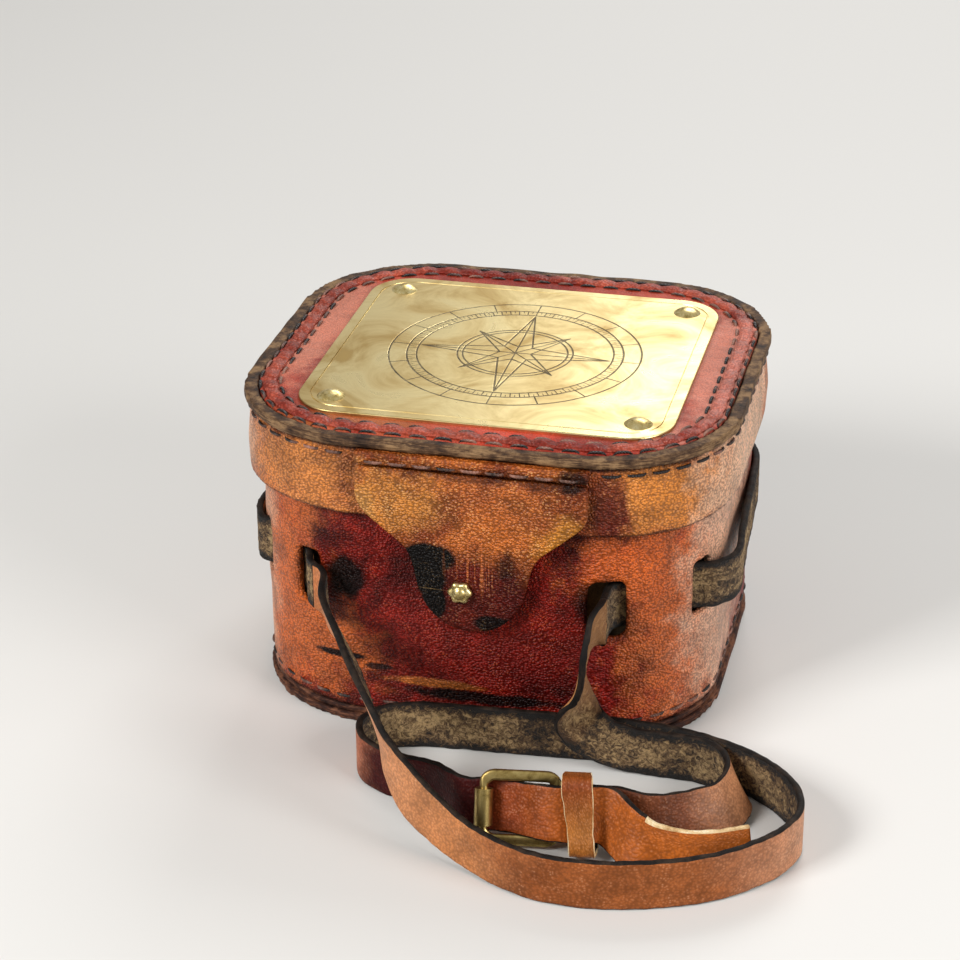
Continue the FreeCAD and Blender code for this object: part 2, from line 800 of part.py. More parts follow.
# Strap hanging from the left slot down to the floor
def drop_station(mouth, foot, across, ahead, down, upper):
    return (
        (
            mouth.x + (foot.x - mouth.x) * across,
            mouth.y + (foot.y - mouth.y) * ahead,
            strap_height + (floor_strap - strap_height) * down,
        ),
        upper,
    )


left_mouth = back_curve.value(left_end)
left_foot = loop_curve.value(loop_start)
drop_stations = leading(back_curve, left_end, strap_height, True)
for across, ahead, down, *upper in left_drop_shares:
    drop_stations.append(drop_station(left_mouth, left_foot, across, ahead, down, tuple(upper)))
drop_stations += leading(loop_curve, loop_start, floor_strap, True)[::-1]
left_drop_route = turned_route(drop_stations)
strap_left_drop = turned_band(left_drop_route, left_drop_route[2][0], left_drop_route[2][-1], 44)

# Buckle frame: its own axes are along the strap, up the strap's width, and out of its face
lean = math.radians(buckle_lean)
turn = math.radians(buckle_turn)
buckle_along = Vector(math.cos(turn), math.sin(turn), 0)
buckle_up = Vector(0, math.sin(lean), math.cos(lean))
buckle_up = (buckle_up - buckle_along * buckle_up.dot(buckle_along)).normalize()
buckle_out = buckle_along.cross(buckle_up)
buckle_spot = loop_point(buckle_across_share, buckle_forward_share)
buckle_middle = Vector(buckle_spot[0], buckle_spot[1], buckle_height)


def on_buckle(along, out, rise=0):
    return buckle_middle + buckle_along * along + buckle_out * out + buckle_up * rise


half_length = buckle_length / 2
half_height = buckle_opening / 2 + buckle_bar_radius
bar_shapes = []
for rise in (-1, 1):
    start = on_buckle(-half_length + buckle_corner_radius, 0, rise * half_height)
    bar_shapes.append(
        cylinder(buckle_bar_radius, 2 * (half_length - buckle_corner_radius), start, buckle_along)
    )
for along in (-1, 1):
    start = on_buckle(along * half_length, 0, -(half_height - buckle_corner_radius))
    bar_shapes.append(
        cylinder(buckle_bar_radius, 2 * (half_height - buckle_corner_radius), start, buckle_up)
    )
for along, rise, start_angle in ((1, 1, 0), (-1, 1, 90), (-1, -1, 180), (1, -1, 270)):
    bend = Part.makeTorus(
        buckle_corner_radius, buckle_bar_radius, Vector(0, 0, 0), Vector(0, 0, 1), 0, 360, 90
    )
    bend.rotate(Vector(0, 0, 0), Vector(0, 0, 1), start_angle)
    centre = on_buckle(
        along * (half_length - buckle_corner_radius), 0, rise * (half_height - buckle_corner_radius)
    )
    bend = bend.transformGeometry(Matrix(
        buckle_along.x, buckle_up.x, buckle_out.x, centre.x,
        buckle_along.y, buckle_up.y, buckle_out.y, centre.y,
        buckle_along.z, buckle_up.z, buckle_out.z, centre.z,
    ))
    bar_shapes.append(bend)
buckle_frame = bar_shapes[0].multiFuse(bar_shapes[1:]).removeSplitter()

roller_start = on_buckle(-half_length, 0, -roller_length / 2)
buckle_roller = cylinder(roller_radius, roller_length, roller_start, buckle_up).cut(
    cylinder(
        buckle_bar_radius + roller_clearance, roller_length + 2 * cut_overrun,
        roller_start - buckle_up * cut_overrun, buckle_up,
    )
)

# Chape: the strap's end folded round the heel bar and sewn to itself
fold_radius = buckle_bar_radius + chape_gap + strap_thickness / 2
main_end = half_length + chape_length


def fold_outline():
    """The folded layers as one closed outline along and out of the buckle."""
    inner = fold_radius - strap_thickness / 2
    outer = fold_radius + strap_thickness / 2
    bend = half_length + fold_radius
    back_inner = chape_swing + strap_thickness / 2
    back_outer = chape_swing - strap_thickness / 2
    front_end = main_end - strap_thickness
    front_inner = -inner + (back_inner + inner) * (front_end - half_length) / chape_length + seat_gap
    front_outer = front_inner + strap_thickness
    points = [
        on_buckle(half_length, -outer), on_buckle(main_end, back_outer), on_buckle(main_end, back_inner),
        on_buckle(half_length, -inner),
    ]
    inner_arc = Part.Arc(points[3], on_buckle(half_length - inner, 0), on_buckle(half_length, inner))
    outer_arc = Part.Arc(on_buckle(half_length, outer), on_buckle(half_length - outer, 0), points[0])
    line = Part.LineSegment
    edges = [
        line(points[0], points[1]).toShape(),
        line(points[1], points[2]).toShape(),
        line(points[2], points[3]).toShape(),
        inner_arc.toShape(),
        line(on_buckle(half_length, inner), on_buckle(bend, inner)).toShape(),
        line(on_buckle(bend, inner), on_buckle(front_end, front_inner)).toShape(),
        line(on_buckle(front_end, front_inner), on_buckle(front_end, front_outer)).toShape(),
        line(on_buckle(front_end, front_outer), on_buckle(bend, outer)).toShape(),
        line(on_buckle(bend, outer), on_buckle(half_length, outer)).toShape(),
        outer_arc.toShape(),
    ]
    return Part.Wire(edges)


fold_face = Part.Face(fold_outline())
fold_face.translate(buckle_up * (-chape_width / 2))
strap_chape = fold_face.extrude(buckle_up * chape_width)
prong_slot = prong_ring_width + 2 * prong_slot_gap
slot_box = Part.makeBox(4 * fold_radius, 4 * fold_radius, prong_slot)
slot_box.translate(Vector(-2 * fold_radius, -3 * fold_radius, -prong_slot / 2))
heel = on_buckle(half_length, 0)
strap_chape = strap_chape.cut(slot_box.transformGeometry(Matrix(
    buckle_out.x, buckle_along.x, buckle_up.x, heel.x,
    buckle_out.y, buckle_along.y, buckle_up.y, heel.y,
    buckle_out.z, buckle_along.z, buckle_up.z, heel.z,
)))

# Prong on the heel bar, lying behind the strap
prong_start = on_buckle(half_length, 0, -prong_ring_width / 2)
swing = math.radians(prong_swing)
prong_way = buckle_along * -math.cos(swing) + buckle_out * -math.sin(swing)
prong_arm = cylinder(prong_radius, prong_length, heel + prong_way * prong_ring_radius / 2, prong_way)
prong_ring = cylinder(prong_ring_radius, prong_ring_width, prong_start, buckle_up)
buckle_prong = prong_ring.fuse(prong_arm).cut(
    cylinder(
        buckle_bar_radius + roller_clearance, prong_ring_width + 2 * cut_overrun,
        prong_start - buckle_up * cut_overrun, buckle_up,
    )
).removeSplitter()

# Strap hanging from the right slot, over the front run and round the inner bend to the fold
right_mouth = back_curve.value(right_end)
right_foot = Vector(*loop_point(*chape_route_shares[0][:2]))
ribbon_stations = leading(back_curve, right_end, strap_height)
for across, ahead, down, *upper in right_drop_shares:
    ribbon_stations.append(drop_station(right_mouth, right_foot, across, ahead, down, tuple(upper)))
ribbon_foot = len(ribbon_stations) - 1
for across, ahead, lift, *upper in chape_route_shares[1:]:
    spot = loop_point(across, ahead, floor_strap + strap_width * lift)
    ribbon_stations.append((spot, tuple(-value for value in upper)))
for reach in between(strap_lead, strap_joint_gap, 2):
    ribbon_stations.append((tuple(on_buckle(main_end + reach, chape_swing)), tuple(buckle_up * -1)))
ribbon_route = turned_route(ribbon_stations)
ribbon_places = ribbon_route[2]
past_foot = ribbon_route[0].parameterAtDistance(strap_joint_gap, ribbon_places[ribbon_foot])
strap_right_drop = turned_band(ribbon_route, ribbon_places[0], ribbon_places[ribbon_foot], 40)
chape_steps = 44
chape_shares = []
for step in range(chape_steps + 1):
    part = max(step / chape_steps - chape_taper_start_share, 0) / (1 - chape_taper_start_share)
    chape_shares.append(1 + (chape_width / strap_width - 1) * part)
strap_chape_run = turned_band(
    ribbon_route, past_foot, ribbon_places[-1], chape_steps, chape_shares, chape_shares
)

# Tip: in behind the roller, over the heel bar and on to its free end
behind_roller = -(roller_radius + face_gap + strap_thickness / 2)
over_chape = fold_radius + strap_thickness / 2 + face_gap + strap_thickness / 2
tip_stations = leading(loop_curve, loop_end, floor_strap)
tip_places = []
for along, behind, over in tip_thread_shares:
    tip_places.append((along * half_length, behind * behind_roller + over * over_chape))
tip_places.append((half_length + chape_length / 2, over_chape - tip_settle / 2))
tip_places.append((main_end, over_chape - tip_settle))
for along, out in tip_places:
    tip_stations.append((tuple(on_buckle(along, out)), tuple(buckle_up)))
for across, ahead, lift, tilt in tip_route_shares:
    tip_stations.append((loop_point(across, ahead, floor_strap + strap_width * lift), (0, tilt, 1)))
tip_steps = 60
tip_shares = []
for step in range(tip_steps + 1):
    part = max(step / tip_steps - tip_taper_start_share, 0) / (1 - tip_taper_start_share)
    tip_shares.append(1 - 2 * (1 - tip_taper_share) * part * (2 - part))
tip_route = turned_route(tip_stations)
strap_tip = turned_band(tip_route, tip_route[2][0], tip_route[2][-1], tip_steps, tip_shares)

# Keeper: a leather loop round the strap and the chape
keeper_start = half_length + keeper_setback
chape_part = (keeper_start + keeper_width - half_length) / chape_length
keeper_back = -fold_radius + (chape_swing + fold_radius) * chape_part - strap_thickness / 2 - keeper_gap
keeper_front = over_chape + strap_thickness / 2 + keeper_gap
keeper_high = strap_width / 2 + keeper_gap
keeper_plan = ring(
    2 * (keeper_high + keeper_thickness), keeper_front - keeper_back + 2 * keeper_thickness,
    keeper_corner_radius, keeper_thickness, 0, keeper_width,
)
keeper_spot = on_buckle(keeper_start, (keeper_front + keeper_back) / 2)
keeper_loop = keeper_plan.transformGeometry(Matrix(
    buckle_up.x, buckle_out.x, buckle_along.x, keeper_spot.x,
    buckle_up.y, buckle_out.y, buckle_along.y, keeper_spot.y,
    buckle_up.z, buckle_out.z, buckle_along.z, keeper_spot.z,
))

save("base_panel", base_panel)
save("base_welt", base_welt)
save("body_wall", body_wall)
save("base_stitching", *base_stitching)
save("liner_shell", liner_shell)
save("base_pad", base_pad)
save("closure_stud", closure_stud)
save("stud_washer", stud_washer)
save("lid_skirt", lid_skirt)
save("lid_welt", lid_welt)
save("lid_panel", lid_panel)
save("lid_board", lid_board)
save("lid_lining", lid_lining)
save("lid_braid", lid_braid)
save("lid_stitching_outer", *lid_stitching_outer)
save("lid_stitching_inner", *lid_stitching_inner)
save("skirt_stitching", *skirt_stitching)
save("brass_plaque", brass_plaque)
save("plaque_rivets", *rivets)
save("rivet_burrs", *burrs)
save("flap_root", flap_root)
save("flap_stitching", *flap_stitching)
save("closure_flap", closure_flap)
save("hinge_leaf_lower", hinge_leaf_lower)
save("hinge_leaf_upper", hinge_leaf_upper)
save("hinge_stitches_lower", *hinge_stitches_lower)
save("hinge_stitches_upper", *hinge_stitches_upper)
save("strap_back", strap_back)
save("strap_left_drop", strap_left_drop)
save("strap_outer_run", strap_outer_run)
save("strap_front_run", strap_front_run)
save("strap_tip", strap_tip)
save("strap_right_drop", strap_right_drop)
save("strap_chape_run", strap_chape_run)
save("strap_chape", strap_chape)
save("buckle_frame", buckle_frame)
save("buckle_roller", buckle_roller)
save("buckle_prong", buckle_prong)
save("keeper_loop", keeper_loop)

print("hinge y", round(hinge_y, 3), "z", round(hinge_level, 3), "lid top", round(lip_top, 3))
print("crease", round(flap_back_y - flap_thickness / 2, 3), round(crease_level, 3))
print("heel bar", [round(value, 4) for value in heel], "up", [round(value, 5) for value in buckle_up])
print("roller bar", [round(value, 4) for value in on_buckle(-half_length, 0)])
print("buckle along", [round(value, 5) for value in buckle_along])
strap_length = back_curve.length() + loop_curve.length()
for route in (left_drop_route, ribbon_route, tip_route):
    strap_length += route[0].length()
print("strap length", round(strap_length, 1))
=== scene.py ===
import math

import bmesh
import bpy
import numpy as np
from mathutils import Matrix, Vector, noise


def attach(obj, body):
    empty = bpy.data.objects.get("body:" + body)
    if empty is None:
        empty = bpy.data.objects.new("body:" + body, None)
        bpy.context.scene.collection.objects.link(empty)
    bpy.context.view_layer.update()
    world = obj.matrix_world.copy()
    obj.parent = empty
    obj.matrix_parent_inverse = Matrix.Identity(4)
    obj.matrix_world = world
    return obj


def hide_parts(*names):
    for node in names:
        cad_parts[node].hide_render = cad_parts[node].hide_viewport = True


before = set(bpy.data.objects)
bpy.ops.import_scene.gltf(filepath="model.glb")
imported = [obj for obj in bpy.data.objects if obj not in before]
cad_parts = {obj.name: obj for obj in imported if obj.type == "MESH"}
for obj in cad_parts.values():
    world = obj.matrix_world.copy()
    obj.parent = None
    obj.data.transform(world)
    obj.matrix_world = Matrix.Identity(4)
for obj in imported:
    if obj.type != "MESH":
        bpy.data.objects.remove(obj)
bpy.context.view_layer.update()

# The box stands on a plain pale table and is seen from its front, a little from the right and from
# above. Three broad soft lamps and an even white room light it, so leather colours show as written.
scene = bpy.context.scene
scene.view_settings.view_transform = "Standard"
# The camera's place, turn and lens put the lid, the rim and the base where the photograph has them.
camera = bpy.data.objects.new("studio_camera", bpy.data.cameras.new("studio_camera"))
camera.location = (0.16789, -0.74515, 0.42491)
camera.rotation_euler = [math.radians(angle) for angle in (64.018, 0.3305, 13.3164)]
camera.data.lens = 102.282
scene.collection.objects.link(camera)
scene.camera = camera


def linear(code):
    """An sRGB hex colour as the linear values that shaders take."""
    parts = [int(code[index:index + 2], 16) / 255 for index in (1, 3, 5)]
    return [part / 12.92 if part <= 0.04045 else ((part + 0.055) / 1.055) ** 2.4 for part in parts] + [1.0]


def add(tree, kind, inputs=(), stops=(), **settings):
    """Adds one node. An input is a value, a hex colour, a socket, or a node, whose first output in use
    is linked. Stops are the places and hex colours of a colour ramp."""
    made = tree.nodes.new("ShaderNode" + kind)
    for key, value in settings.items():
        setattr(made, key, value)
    for key, value in dict(inputs).items():
        if isinstance(value, bpy.types.Node):
            value = next(output for output in value.outputs if output.enabled)
        if isinstance(value, bpy.types.NodeSocket):
            tree.links.new(value, made.inputs[key])
        else:
            made.inputs[key].default_value = linear(value) if isinstance(value, str) else value
    if stops:
        elements = made.color_ramp.elements
        for element, (spot, code) in zip(elements, (stops[0], stops[-1])):
            element.position, element.color = spot, linear(code)
        for spot, code in stops[1:-1]:
            elements.new(spot).color = linear(code)
    return made


def fresh_material(name):
    """An empty node material and its tree."""
    material = bpy.data.materials.new(name)
    material.use_nodes = True
    material.node_tree.nodes.clear()
    return material, material.node_tree


lit_middle = Vector((0, -0.03, 0.04))
lamps = (
    ("key_lamp", (-0.75, -0.90, 0.80), 0.45, 16.0),
    ("fill_lamp", (1.00, -0.50, 0.55), 0.60, 9.5),
    ("back_lamp", (0.10, 1.30, 1.10), 0.70, 11.0),
)
for name, place, size, power in lamps:
    lamp = bpy.data.objects.new(name, bpy.data.lights.new(name, "AREA"))
    lamp.data.shape = "SQUARE"
    lamp.data.size = size
    lamp.data.energy = power
    lamp.location = place
    lamp.rotation_euler = (lit_middle - lamp.location).to_track_quat("-Z", "Y").to_euler()
    scene.collection.objects.link(lamp)

# The room is seen as a pale backdrop, polished brass mirrors it brightly, and it lights the rest softly.
world = bpy.data.worlds.new("white_room")
world.use_nodes = True
world.node_tree.nodes.clear()
rays = add(world.node_tree, "LightPath")
lit_level = add(world.node_tree, "MapRange", {
    "Value": rays.outputs["Is Glossy Ray"], "To Min": 0.28, "To Max": 0.52,
})
room_level = add(world.node_tree, "Mix", {
    0: rays.outputs["Is Camera Ray"], 2: lit_level, 3: 0.88,
}, data_type="FLOAT")
room = add(world.node_tree, "Background", {"Color": "#f4f3f1", "Strength": room_level})
add(world.node_tree, "OutputWorld", {"Surface": room})
scene.world = world

# Matt emulsion rolled on a smooth board: a chalky pale white with no mirror image in it.
table_paint, tree = fresh_material("matt_white_table_paint")
paint_speckle = add(tree, "TexNoise", {"Scale": 40.0, "Detail": 3.0})
paint_tone = add(tree, "MapRange", {"Value": paint_speckle, "To Min": 0.55, "To Max": 0.62})
paint = add(tree, "BsdfPrincipled", {"Base Color": "#dddbd7", "Roughness": paint_tone})
add(tree, "OutputMaterial", {"Surface": paint})
table_mesh = bpy.data.meshes.new("table_top")
table_mesh.from_pydata([(-4, -3, 0), (4, -3, 0), (4, 5, 0), (-4, 5, 0)], [], [(0, 1, 2, 3)])
table_mesh.materials.append(table_paint)
table_top = bpy.data.objects.new("table_top", table_mesh)
scene.collection.objects.link(table_top)

# One strip of vegetable-tanned goat leather bent round and closed at the back, dyed ox blood red and
# rubbed back to orange tan at the corners. Slots are cut in it for the strap. It stands on the base.


def in_millimetres(tree, source="Object"):
    """The surface's own coordinates in millimetres, so a noise scale is one over its size there."""
    place = add(tree, "TexCoord").outputs[source]
    return add(tree, "VectorMath", {0: place, "Scale": 1000.0}, operation="SCALE")


def blended(tree, value, low, high, first, second, most=1.0, curve="LINEAR"):
    """Turns from the first colour to the second, as far as most, while value goes from low to high."""
    share = add(tree, "MapRange", {
        "Value": value, "From Min": low, "From Max": high, "To Max": most,
    }, interpolation_type=curve)
    return add(tree, "Mix", {0: share, 6: first, 7: second}, data_type="RGBA")


def shaded(tree, colour, value, low, high, dark, bright):
    """Multiplies a colour by dark where value is low and by bright where it is high."""
    shade = add(tree, "MapRange", {
        "Value": value, "From Min": low, "From Max": high, "To Min": dark, "To Max": bright,
    })
    return add(tree, "Mix", {0: 1.0, 6: colour, 7: shade}, data_type="RGBA", blend_type="MULTIPLY")


def surfaced(tree, height, strength, depth, inputs):
    """Ends a material: its fine relief, with depth in millimetres, and its surface."""
    raised = add(tree, "Bump", {"Height": height, "Strength": strength, "Distance": depth / 1000})
    skin = add(tree, "BsdfPrincipled", {"Normal": raised, **inputs})
    add(tree, "OutputMaterial", {"Surface": skin})


def pebbles(tree, place, size):
    """Heights of boarded goat grain: uneven rounded pebbles, one at their tops and zero between them."""
    wander = add(tree, "TexNoise", {"Vector": place, "Scale": 0.3 / size, "Detail": 2.0})
    pull = add(tree, "VectorMath", {0: wander.outputs["Color"], "Scale": 1.2 * size}, operation="SCALE")
    moved = add(tree, "VectorMath", {0: place, 1: pull}, operation="ADD")
    flattened = add(tree, "VectorMath", {0: moved, 1: (1.0, 1.0, 1.25)}, operation="MULTIPLY")
    cells = add(tree, "TexVoronoi", {"Vector": flattened, "Scale": 1 / size, "Randomness": 0.9}, feature="F1")
    return add(tree, "MapRange", {"Value": cells.outputs["Distance"], "From Min": 0.70, "From Max": 0.15})


def leather(
    name, deep, middle, light, patches=(), pebble=0.85, source="Object", shine=(0.32, 0.5), relief=0.34,
    grain=1.0, base=None, over=None,
):
    """Goat leather boarded to a pebbled grain, dyed by hand, waxed and worn. The eye gets a clouded
    dye, painted shade in the creases and painted light on the pebble tops, pale painted glints on some
    tops, and a low satin shine that fades where the dye is dark.

    Real pebbles are about half a millimetre wide; they are drawn at 0.6 to 0.9 so that they show.
    Each patch is a rubbed or stained place, or painted shade or a painted highlight: its middle, half
    sizes, colour, strength and, where it isn't the usual one, softness. light colours the painted glints
    and the scuffs. base gives the colour under the patches; over adds marks on them.
    """
    material, tree = fresh_material(name)
    place = in_millimetres(tree, source)
    cloud = add(tree, "TexNoise", {
        "Vector": place, "Scale": 0.045, "Detail": 5.0, "Roughness": 0.62, "Distortion": 0.6,
    })
    colour = blended(tree, cloud, 0.36, 0.64, deep, middle, curve="SMOOTHSTEP")
    if base is not None:
        colour = base(tree, place, colour)
    ragged = add(tree, "TexNoise", {"Vector": place, "Scale": 0.11, "Detail": 6.0, "Roughness": 0.68})
    centred = add(tree, "VectorMath", {0: ragged.outputs["Color"], 1: (0.5, 0.5, 0.5)}, operation="SUBTRACT")
    usual_softness = 0.45
    for spot, half, code, strength, *softness in patches:
        edge = softness[0] if softness else usual_softness
        spread = add(tree, "VectorMath", {0: centred, "Scale": 4.9 * edge}, operation="SCALE")
        apart = add(tree, "VectorMath", {0: place, 1: spot}, operation="SUBTRACT")
        shares = add(tree, "VectorMath", {0: apart, 1: half}, operation="DIVIDE")
        frayed = add(tree, "VectorMath", {0: shares, 1: spread}, operation="ADD")
        reach = add(tree, "VectorMath", {0: frayed}, operation="LENGTH")
        colour = blended(tree, reach, 0.9 + edge, 0.9 - edge, colour, code, strength, "SMOOTHSTEP")
    handled = add(tree, "TexNoise", {
        "Vector": place, "Scale": 0.075, "Detail": 6.0, "Roughness": 0.68, "Distortion": 0.8,
    })
    colour = shaded(tree, colour, handled, 0.36, 0.60, 1 - 0.42 * grain, 1.08)
    if over is not None:
        colour = over(tree, place, colour)
    tops = pebbles(tree, place, pebble)
    # painted shade in the creases between the pebbles and painted light on their tops
    colour = shaded(tree, colour, tops, 0.05, 0.6, 1 - 0.5 * grain, 1.12)
    value = add(tree, "RGBToBW", {0: colour})
    # painted glints: pale spots on scattered pebble tops, fewer where the dye is dark; this noise also varies
    # the gloss
    rubbed = add(tree, "TexNoise", {"Vector": place, "Scale": 0.22, "Detail": 6.0, "Roughness": 0.72})
    glint_spread = add(tree, "MapRange", {"Value": rubbed, "From Min": 0.46, "From Max": 0.66, "To Max": 0.5 * grain})
    crown = add(tree, "MapRange", {"Value": tops, "From Min": 0.55, "From Max": 0.95})
    painted_glints = add(tree, "Math", {0: crown, 1: glint_spread}, operation="MULTIPLY")
    paleness = add(tree, "MapRange", {"Value": value, "From Max": 0.10, "To Min": 0.12})
    painted_glints_on_pale = add(tree, "Math", {0: painted_glints, 1: paleness}, operation="MULTIPLY")
    colour = add(tree, "Mix", {0: painted_glints_on_pale, 6: colour, 7: light}, data_type="RGBA")
    long_way = add(tree, "VectorMath", {0: place, 1: (0.035, 0.035, 0.9)}, operation="MULTIPLY")
    scuffs = add(tree, "TexNoise", {"Vector": long_way, "Scale": 1.0, "Detail": 6.0, "Roughness": 0.75})
    colour = blended(tree, scuffs, 0.66, 0.74, colour, light, 0.3 * grain)
    gloss = add(tree, "MapRange", {
        "Value": rubbed, "From Min": 0.3, "From Max": 0.7, "To Min": shine[1], "To Max": shine[0],
    })
    shine_level = add(tree, "MapRange", {"Value": value, "From Max": 0.12, "To Min": 0.16, "To Max": 0.42})
    pores = add(tree, "TexNoise", {"Vector": place, "Scale": 3.2, "Detail": 3.0})
    fine = add(tree, "Math", {0: pores, 1: 0.25, 2: tops}, operation="MULTIPLY_ADD")
    surfaced(tree, fine, 1.0, relief, {
        "Base Color": colour, "Roughness": gloss, "IOR": 1.45, "Specular IOR Level": shine_level,
    })
    return material


def worked(node, name, voxel, swell, pitch, material, body, moves=None):
    """The CAD solid as a hand-worked piece: its edges are rounded over by a voxel or two, and its faces
    swell gently at the pitch, all in millimetres. moves(place, way out) adds lifts of its own."""
    base = bmesh.new()
    base.from_mesh(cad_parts[node].data)
    bmesh.ops.remove_doubles(base, verts=base.verts, dist=1e-6)
    draft = bpy.data.meshes.new(name)
    base.to_mesh(draft)
    base.free()
    piece = bpy.data.objects.new(name, draft)
    scene.collection.objects.link(piece)
    even = piece.modifiers.new("even_skin", "REMESH")
    even.mode = "VOXEL"
    even.voxel_size = voxel / 1000
    ease = piece.modifiers.new("eased_edges", "SMOOTH")
    ease.factor = 0.5
    ease.iterations = 2
    bpy.context.view_layer.update()
    made = bpy.data.meshes.new_from_object(piece.evaluated_get(bpy.context.evaluated_depsgraph_get()))
    piece.modifiers.clear()
    piece.data = made
    for point, way in [(vertex, Vector(vertex.normal)) for vertex in made.vertices]:
        spot = point.co * 1000
        lift = swell * noise.noise(spot / pitch)
        if moves is not None:
            lift += moves(spot, way)
        point.co += way * lift / 1000
        point.co.z = max(point.co.z, 0.0)
    made.polygons.foreach_set("use_smooth", [True] * len(made.polygons))
    made.materials.clear()
    made.materials.append(material)
    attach(piece, body)
    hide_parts(node)


# Ox blood dye laid on thickly: deep red, darker in places and along its foot, and open orange where
# it is rubbed. Painted shade darkens it round the slots, in a crease, under a low ridge and under the
# lid, and painted highlights pale its sides and that ridge.
ox_blood_wall_leather = leather(
    "ox_blood_goat_leather", "#4a0502", "#981605", "#e07a36",
    patches=(
        ((8, -67, 34), (32, 12, 14), "#a01d0a", 0.6),
        ((-60, -48, 42), (22, 26, 46), "#c65e1a", 0.95),
        ((-42, -60, 22), (18, 14, 16), "#cc6218", 0.8),
        ((60, -48, 42), (20, 26, 46), "#cd6424", 0.95),
        ((46, -60, 58), (17, 14, 14), "#d8621a", 0.85),
        # painted rim highlights on both sides
        ((-71, -22, 46), (11, 44, 60), "#e4a884", 0.9),
        ((71, -22, 46), (12, 42, 60), "#e8b494", 0.95),
        ((-58, 52, 44), (26, 24, 50), "#c0602c", 0.8),
        ((58, 52, 44), (26, 24, 50), "#c4652e", 0.8),
        ((-5, 67, 30), (34, 12, 18), "#a8421c", 0.6),
        # painted shade round the left and right slots, and a painted shadow right of the left strap
        ((-48, -61, 47), (5, 7, 9), "#1d0705", 0.8, 0.3),
        ((39.5, -64, 47), (9, 8, 9), "#170504", 0.9, 0.35),
        ((-36, -66, 48.5), (6.5, 6, 7), "#0a0302", 0.97, 0.25),
        # painted shade in the pinched crease
        ((-38, -63, 22), (9, 9, 1.5), "#140504", 1.0, 0.2),
        ((-26, -66, 20), (5, 9, 1.1), "#140504", 0.9, 0.2),
        # a painted highlight along the low ridge, and painted shadow under it
        ((-8, -67, 16.4), (15, 8, 1.9), "#d0722a", 1.0, 0.25),
        ((8, -67, 13), (30, 8, 2.2), "#0c0302", 0.97, 0.3),
        ((20, -67, 27), (26, 9, 9), "#6a0a05", 0.6),
        ((0, 0, 3.5), (600, 600, 3.2), "#2a0d09", 0.75),
        # painted shade under the lid's overhang
        ((0, 0, 72), (600, 600, 4.0), "#2e0907", 0.6),
    ),
)


def wall_moves(spot, way):
    """The pinched crease and the soft ridge low on the front."""
    pinch = math.exp(-((spot.x + 36) / 9) ** 2 - ((spot.z - 21.5 - 0.05 * (spot.x + 36)) / 1.0) ** 2)
    ridge = math.exp(-((spot.x + 4) / 20) ** 2 - ((spot.z - 17.5) / 1.6) ** 2)
    front = 1 if spot.y < -40 else 0
    return front * (0.8 * ridge - 0.9 * pinch)


worked("body_wall", "wall_leather", 1.1, 0.45, 17, ox_blood_wall_leather, "case", wall_moves)

# A sole of thicker leather with a welt sewn between it and the wall. Both are cut edges that were
# dyed dark and rubbed, so the layers of the hide show as fine lines along them.


def cut_edge(name, dark, middle, pale, source="Object"):
    """The cut edge of thick leather, burnished: layers of pressed fibre that show as dull fine lines.
    The layers are about 0.4 mm apart, and each runs on for several millimetres."""
    material, tree = fresh_material(name)
    place = in_millimetres(tree, source)
    layered = add(tree, "VectorMath", {0: place, 1: (0.22, 0.22, 2.6)}, operation="MULTIPLY")
    layers = add(tree, "TexNoise", {"Vector": layered, "Scale": 1.0, "Detail": 6.0, "Roughness": 0.75})
    dirt = add(tree, "TexNoise", {"Vector": place, "Scale": 0.12, "Detail": 5.0, "Roughness": 0.65})
    tone = add(tree, "Math", {0: layers, 1: dirt}, operation="ADD")
    fibre = add(tree, "ValToRGB", {0: tone}, stops=((0.78, dark), (1.0, middle)))
    fibres = add(tree, "TexNoise", {"Vector": place, "Scale": 1.6, "Detail": 5.0, "Roughness": 0.75})
    rough = add(tree, "MapRange", {"Value": dirt, "To Min": 0.45, "To Max": 0.8})
    surfaced(tree, fibres, 0.6, 0.4, {
        "Base Color": blended(tree, tone, 0.98, 1.18, fibre, pale), "Roughness": rough, "IOR": 1.45,
        "Specular IOR Level": 0.2,
    })
    return material


# Edges dyed with black-brown spirit dye and rubbed through to tan on the outermost fibres.
dark_sole_edge = cut_edge("rubbed_sole_edge", "#120907", "#3a1f16", "#7b4f38")
worked("base_panel", "sole_leather", 1.1, 0.25, 13, dark_sole_edge, "case")
worked("base_welt", "sole_welt", 0.9, 0.15, 11, dark_sole_edge, "case")

# The lid's side is a second leather strip, lapped over the wall. Hands have worn its dye away, so
# it is more orange than the wall. Its pale, almost bare skin coloured sides are painted highlights.
worn_skirt_leather = leather(
    "worn_orange_goat_leather", "#8a3410", "#c4682a", "#f6b070",
    patches=(
        ((-48, -62, 82), (28, 20, 15), "#d8843a", 0.85),
        ((58, -58, 82), (22, 20, 15), "#d68230", 0.9),
        # painted rim highlights on both sides
        ((-73, -18, 82), (11, 44, 22), "#eab692", 0.9),
        ((73, -14, 82), (12, 48, 22), "#ecbc98", 0.9),
        ((-58, 54, 82), (26, 22, 16), "#c87a3c", 0.8),
        ((58, 54, 82), (26, 22, 16), "#cc8040", 0.8),
        ((0, 70, 82), (36, 9, 14), "#963a18", 0.7),
        ((43, -68, 79), (6, 9, 12), "#5e0f07", 0.85, 0.3),
        ((3, -69, 80), (36, 8, 16), "#5a1808", 0.8),
        ((0, 0, 92), (600, 600, 1.2), "#200c07", 0.85),
        ((0, 0, 70.6), (600, 600, 1.0), "#3a160c", 0.75),
    ),
)
worked("lid_skirt", "skirt_leather", 1.0, 0.35, 16, worn_skirt_leather, "lid")

# The skirt and the lid's top are turned and sewn into a raised rim, whose cut edges are bare hide
# gone grey with handling.
grey_rim_edge = cut_edge("grey_handled_rim_edge", "#1a100a", "#543c29", "#917250")
worked("lid_welt", "rim_leather", 0.9, 0.35, 9, grey_rim_edge, "lid")

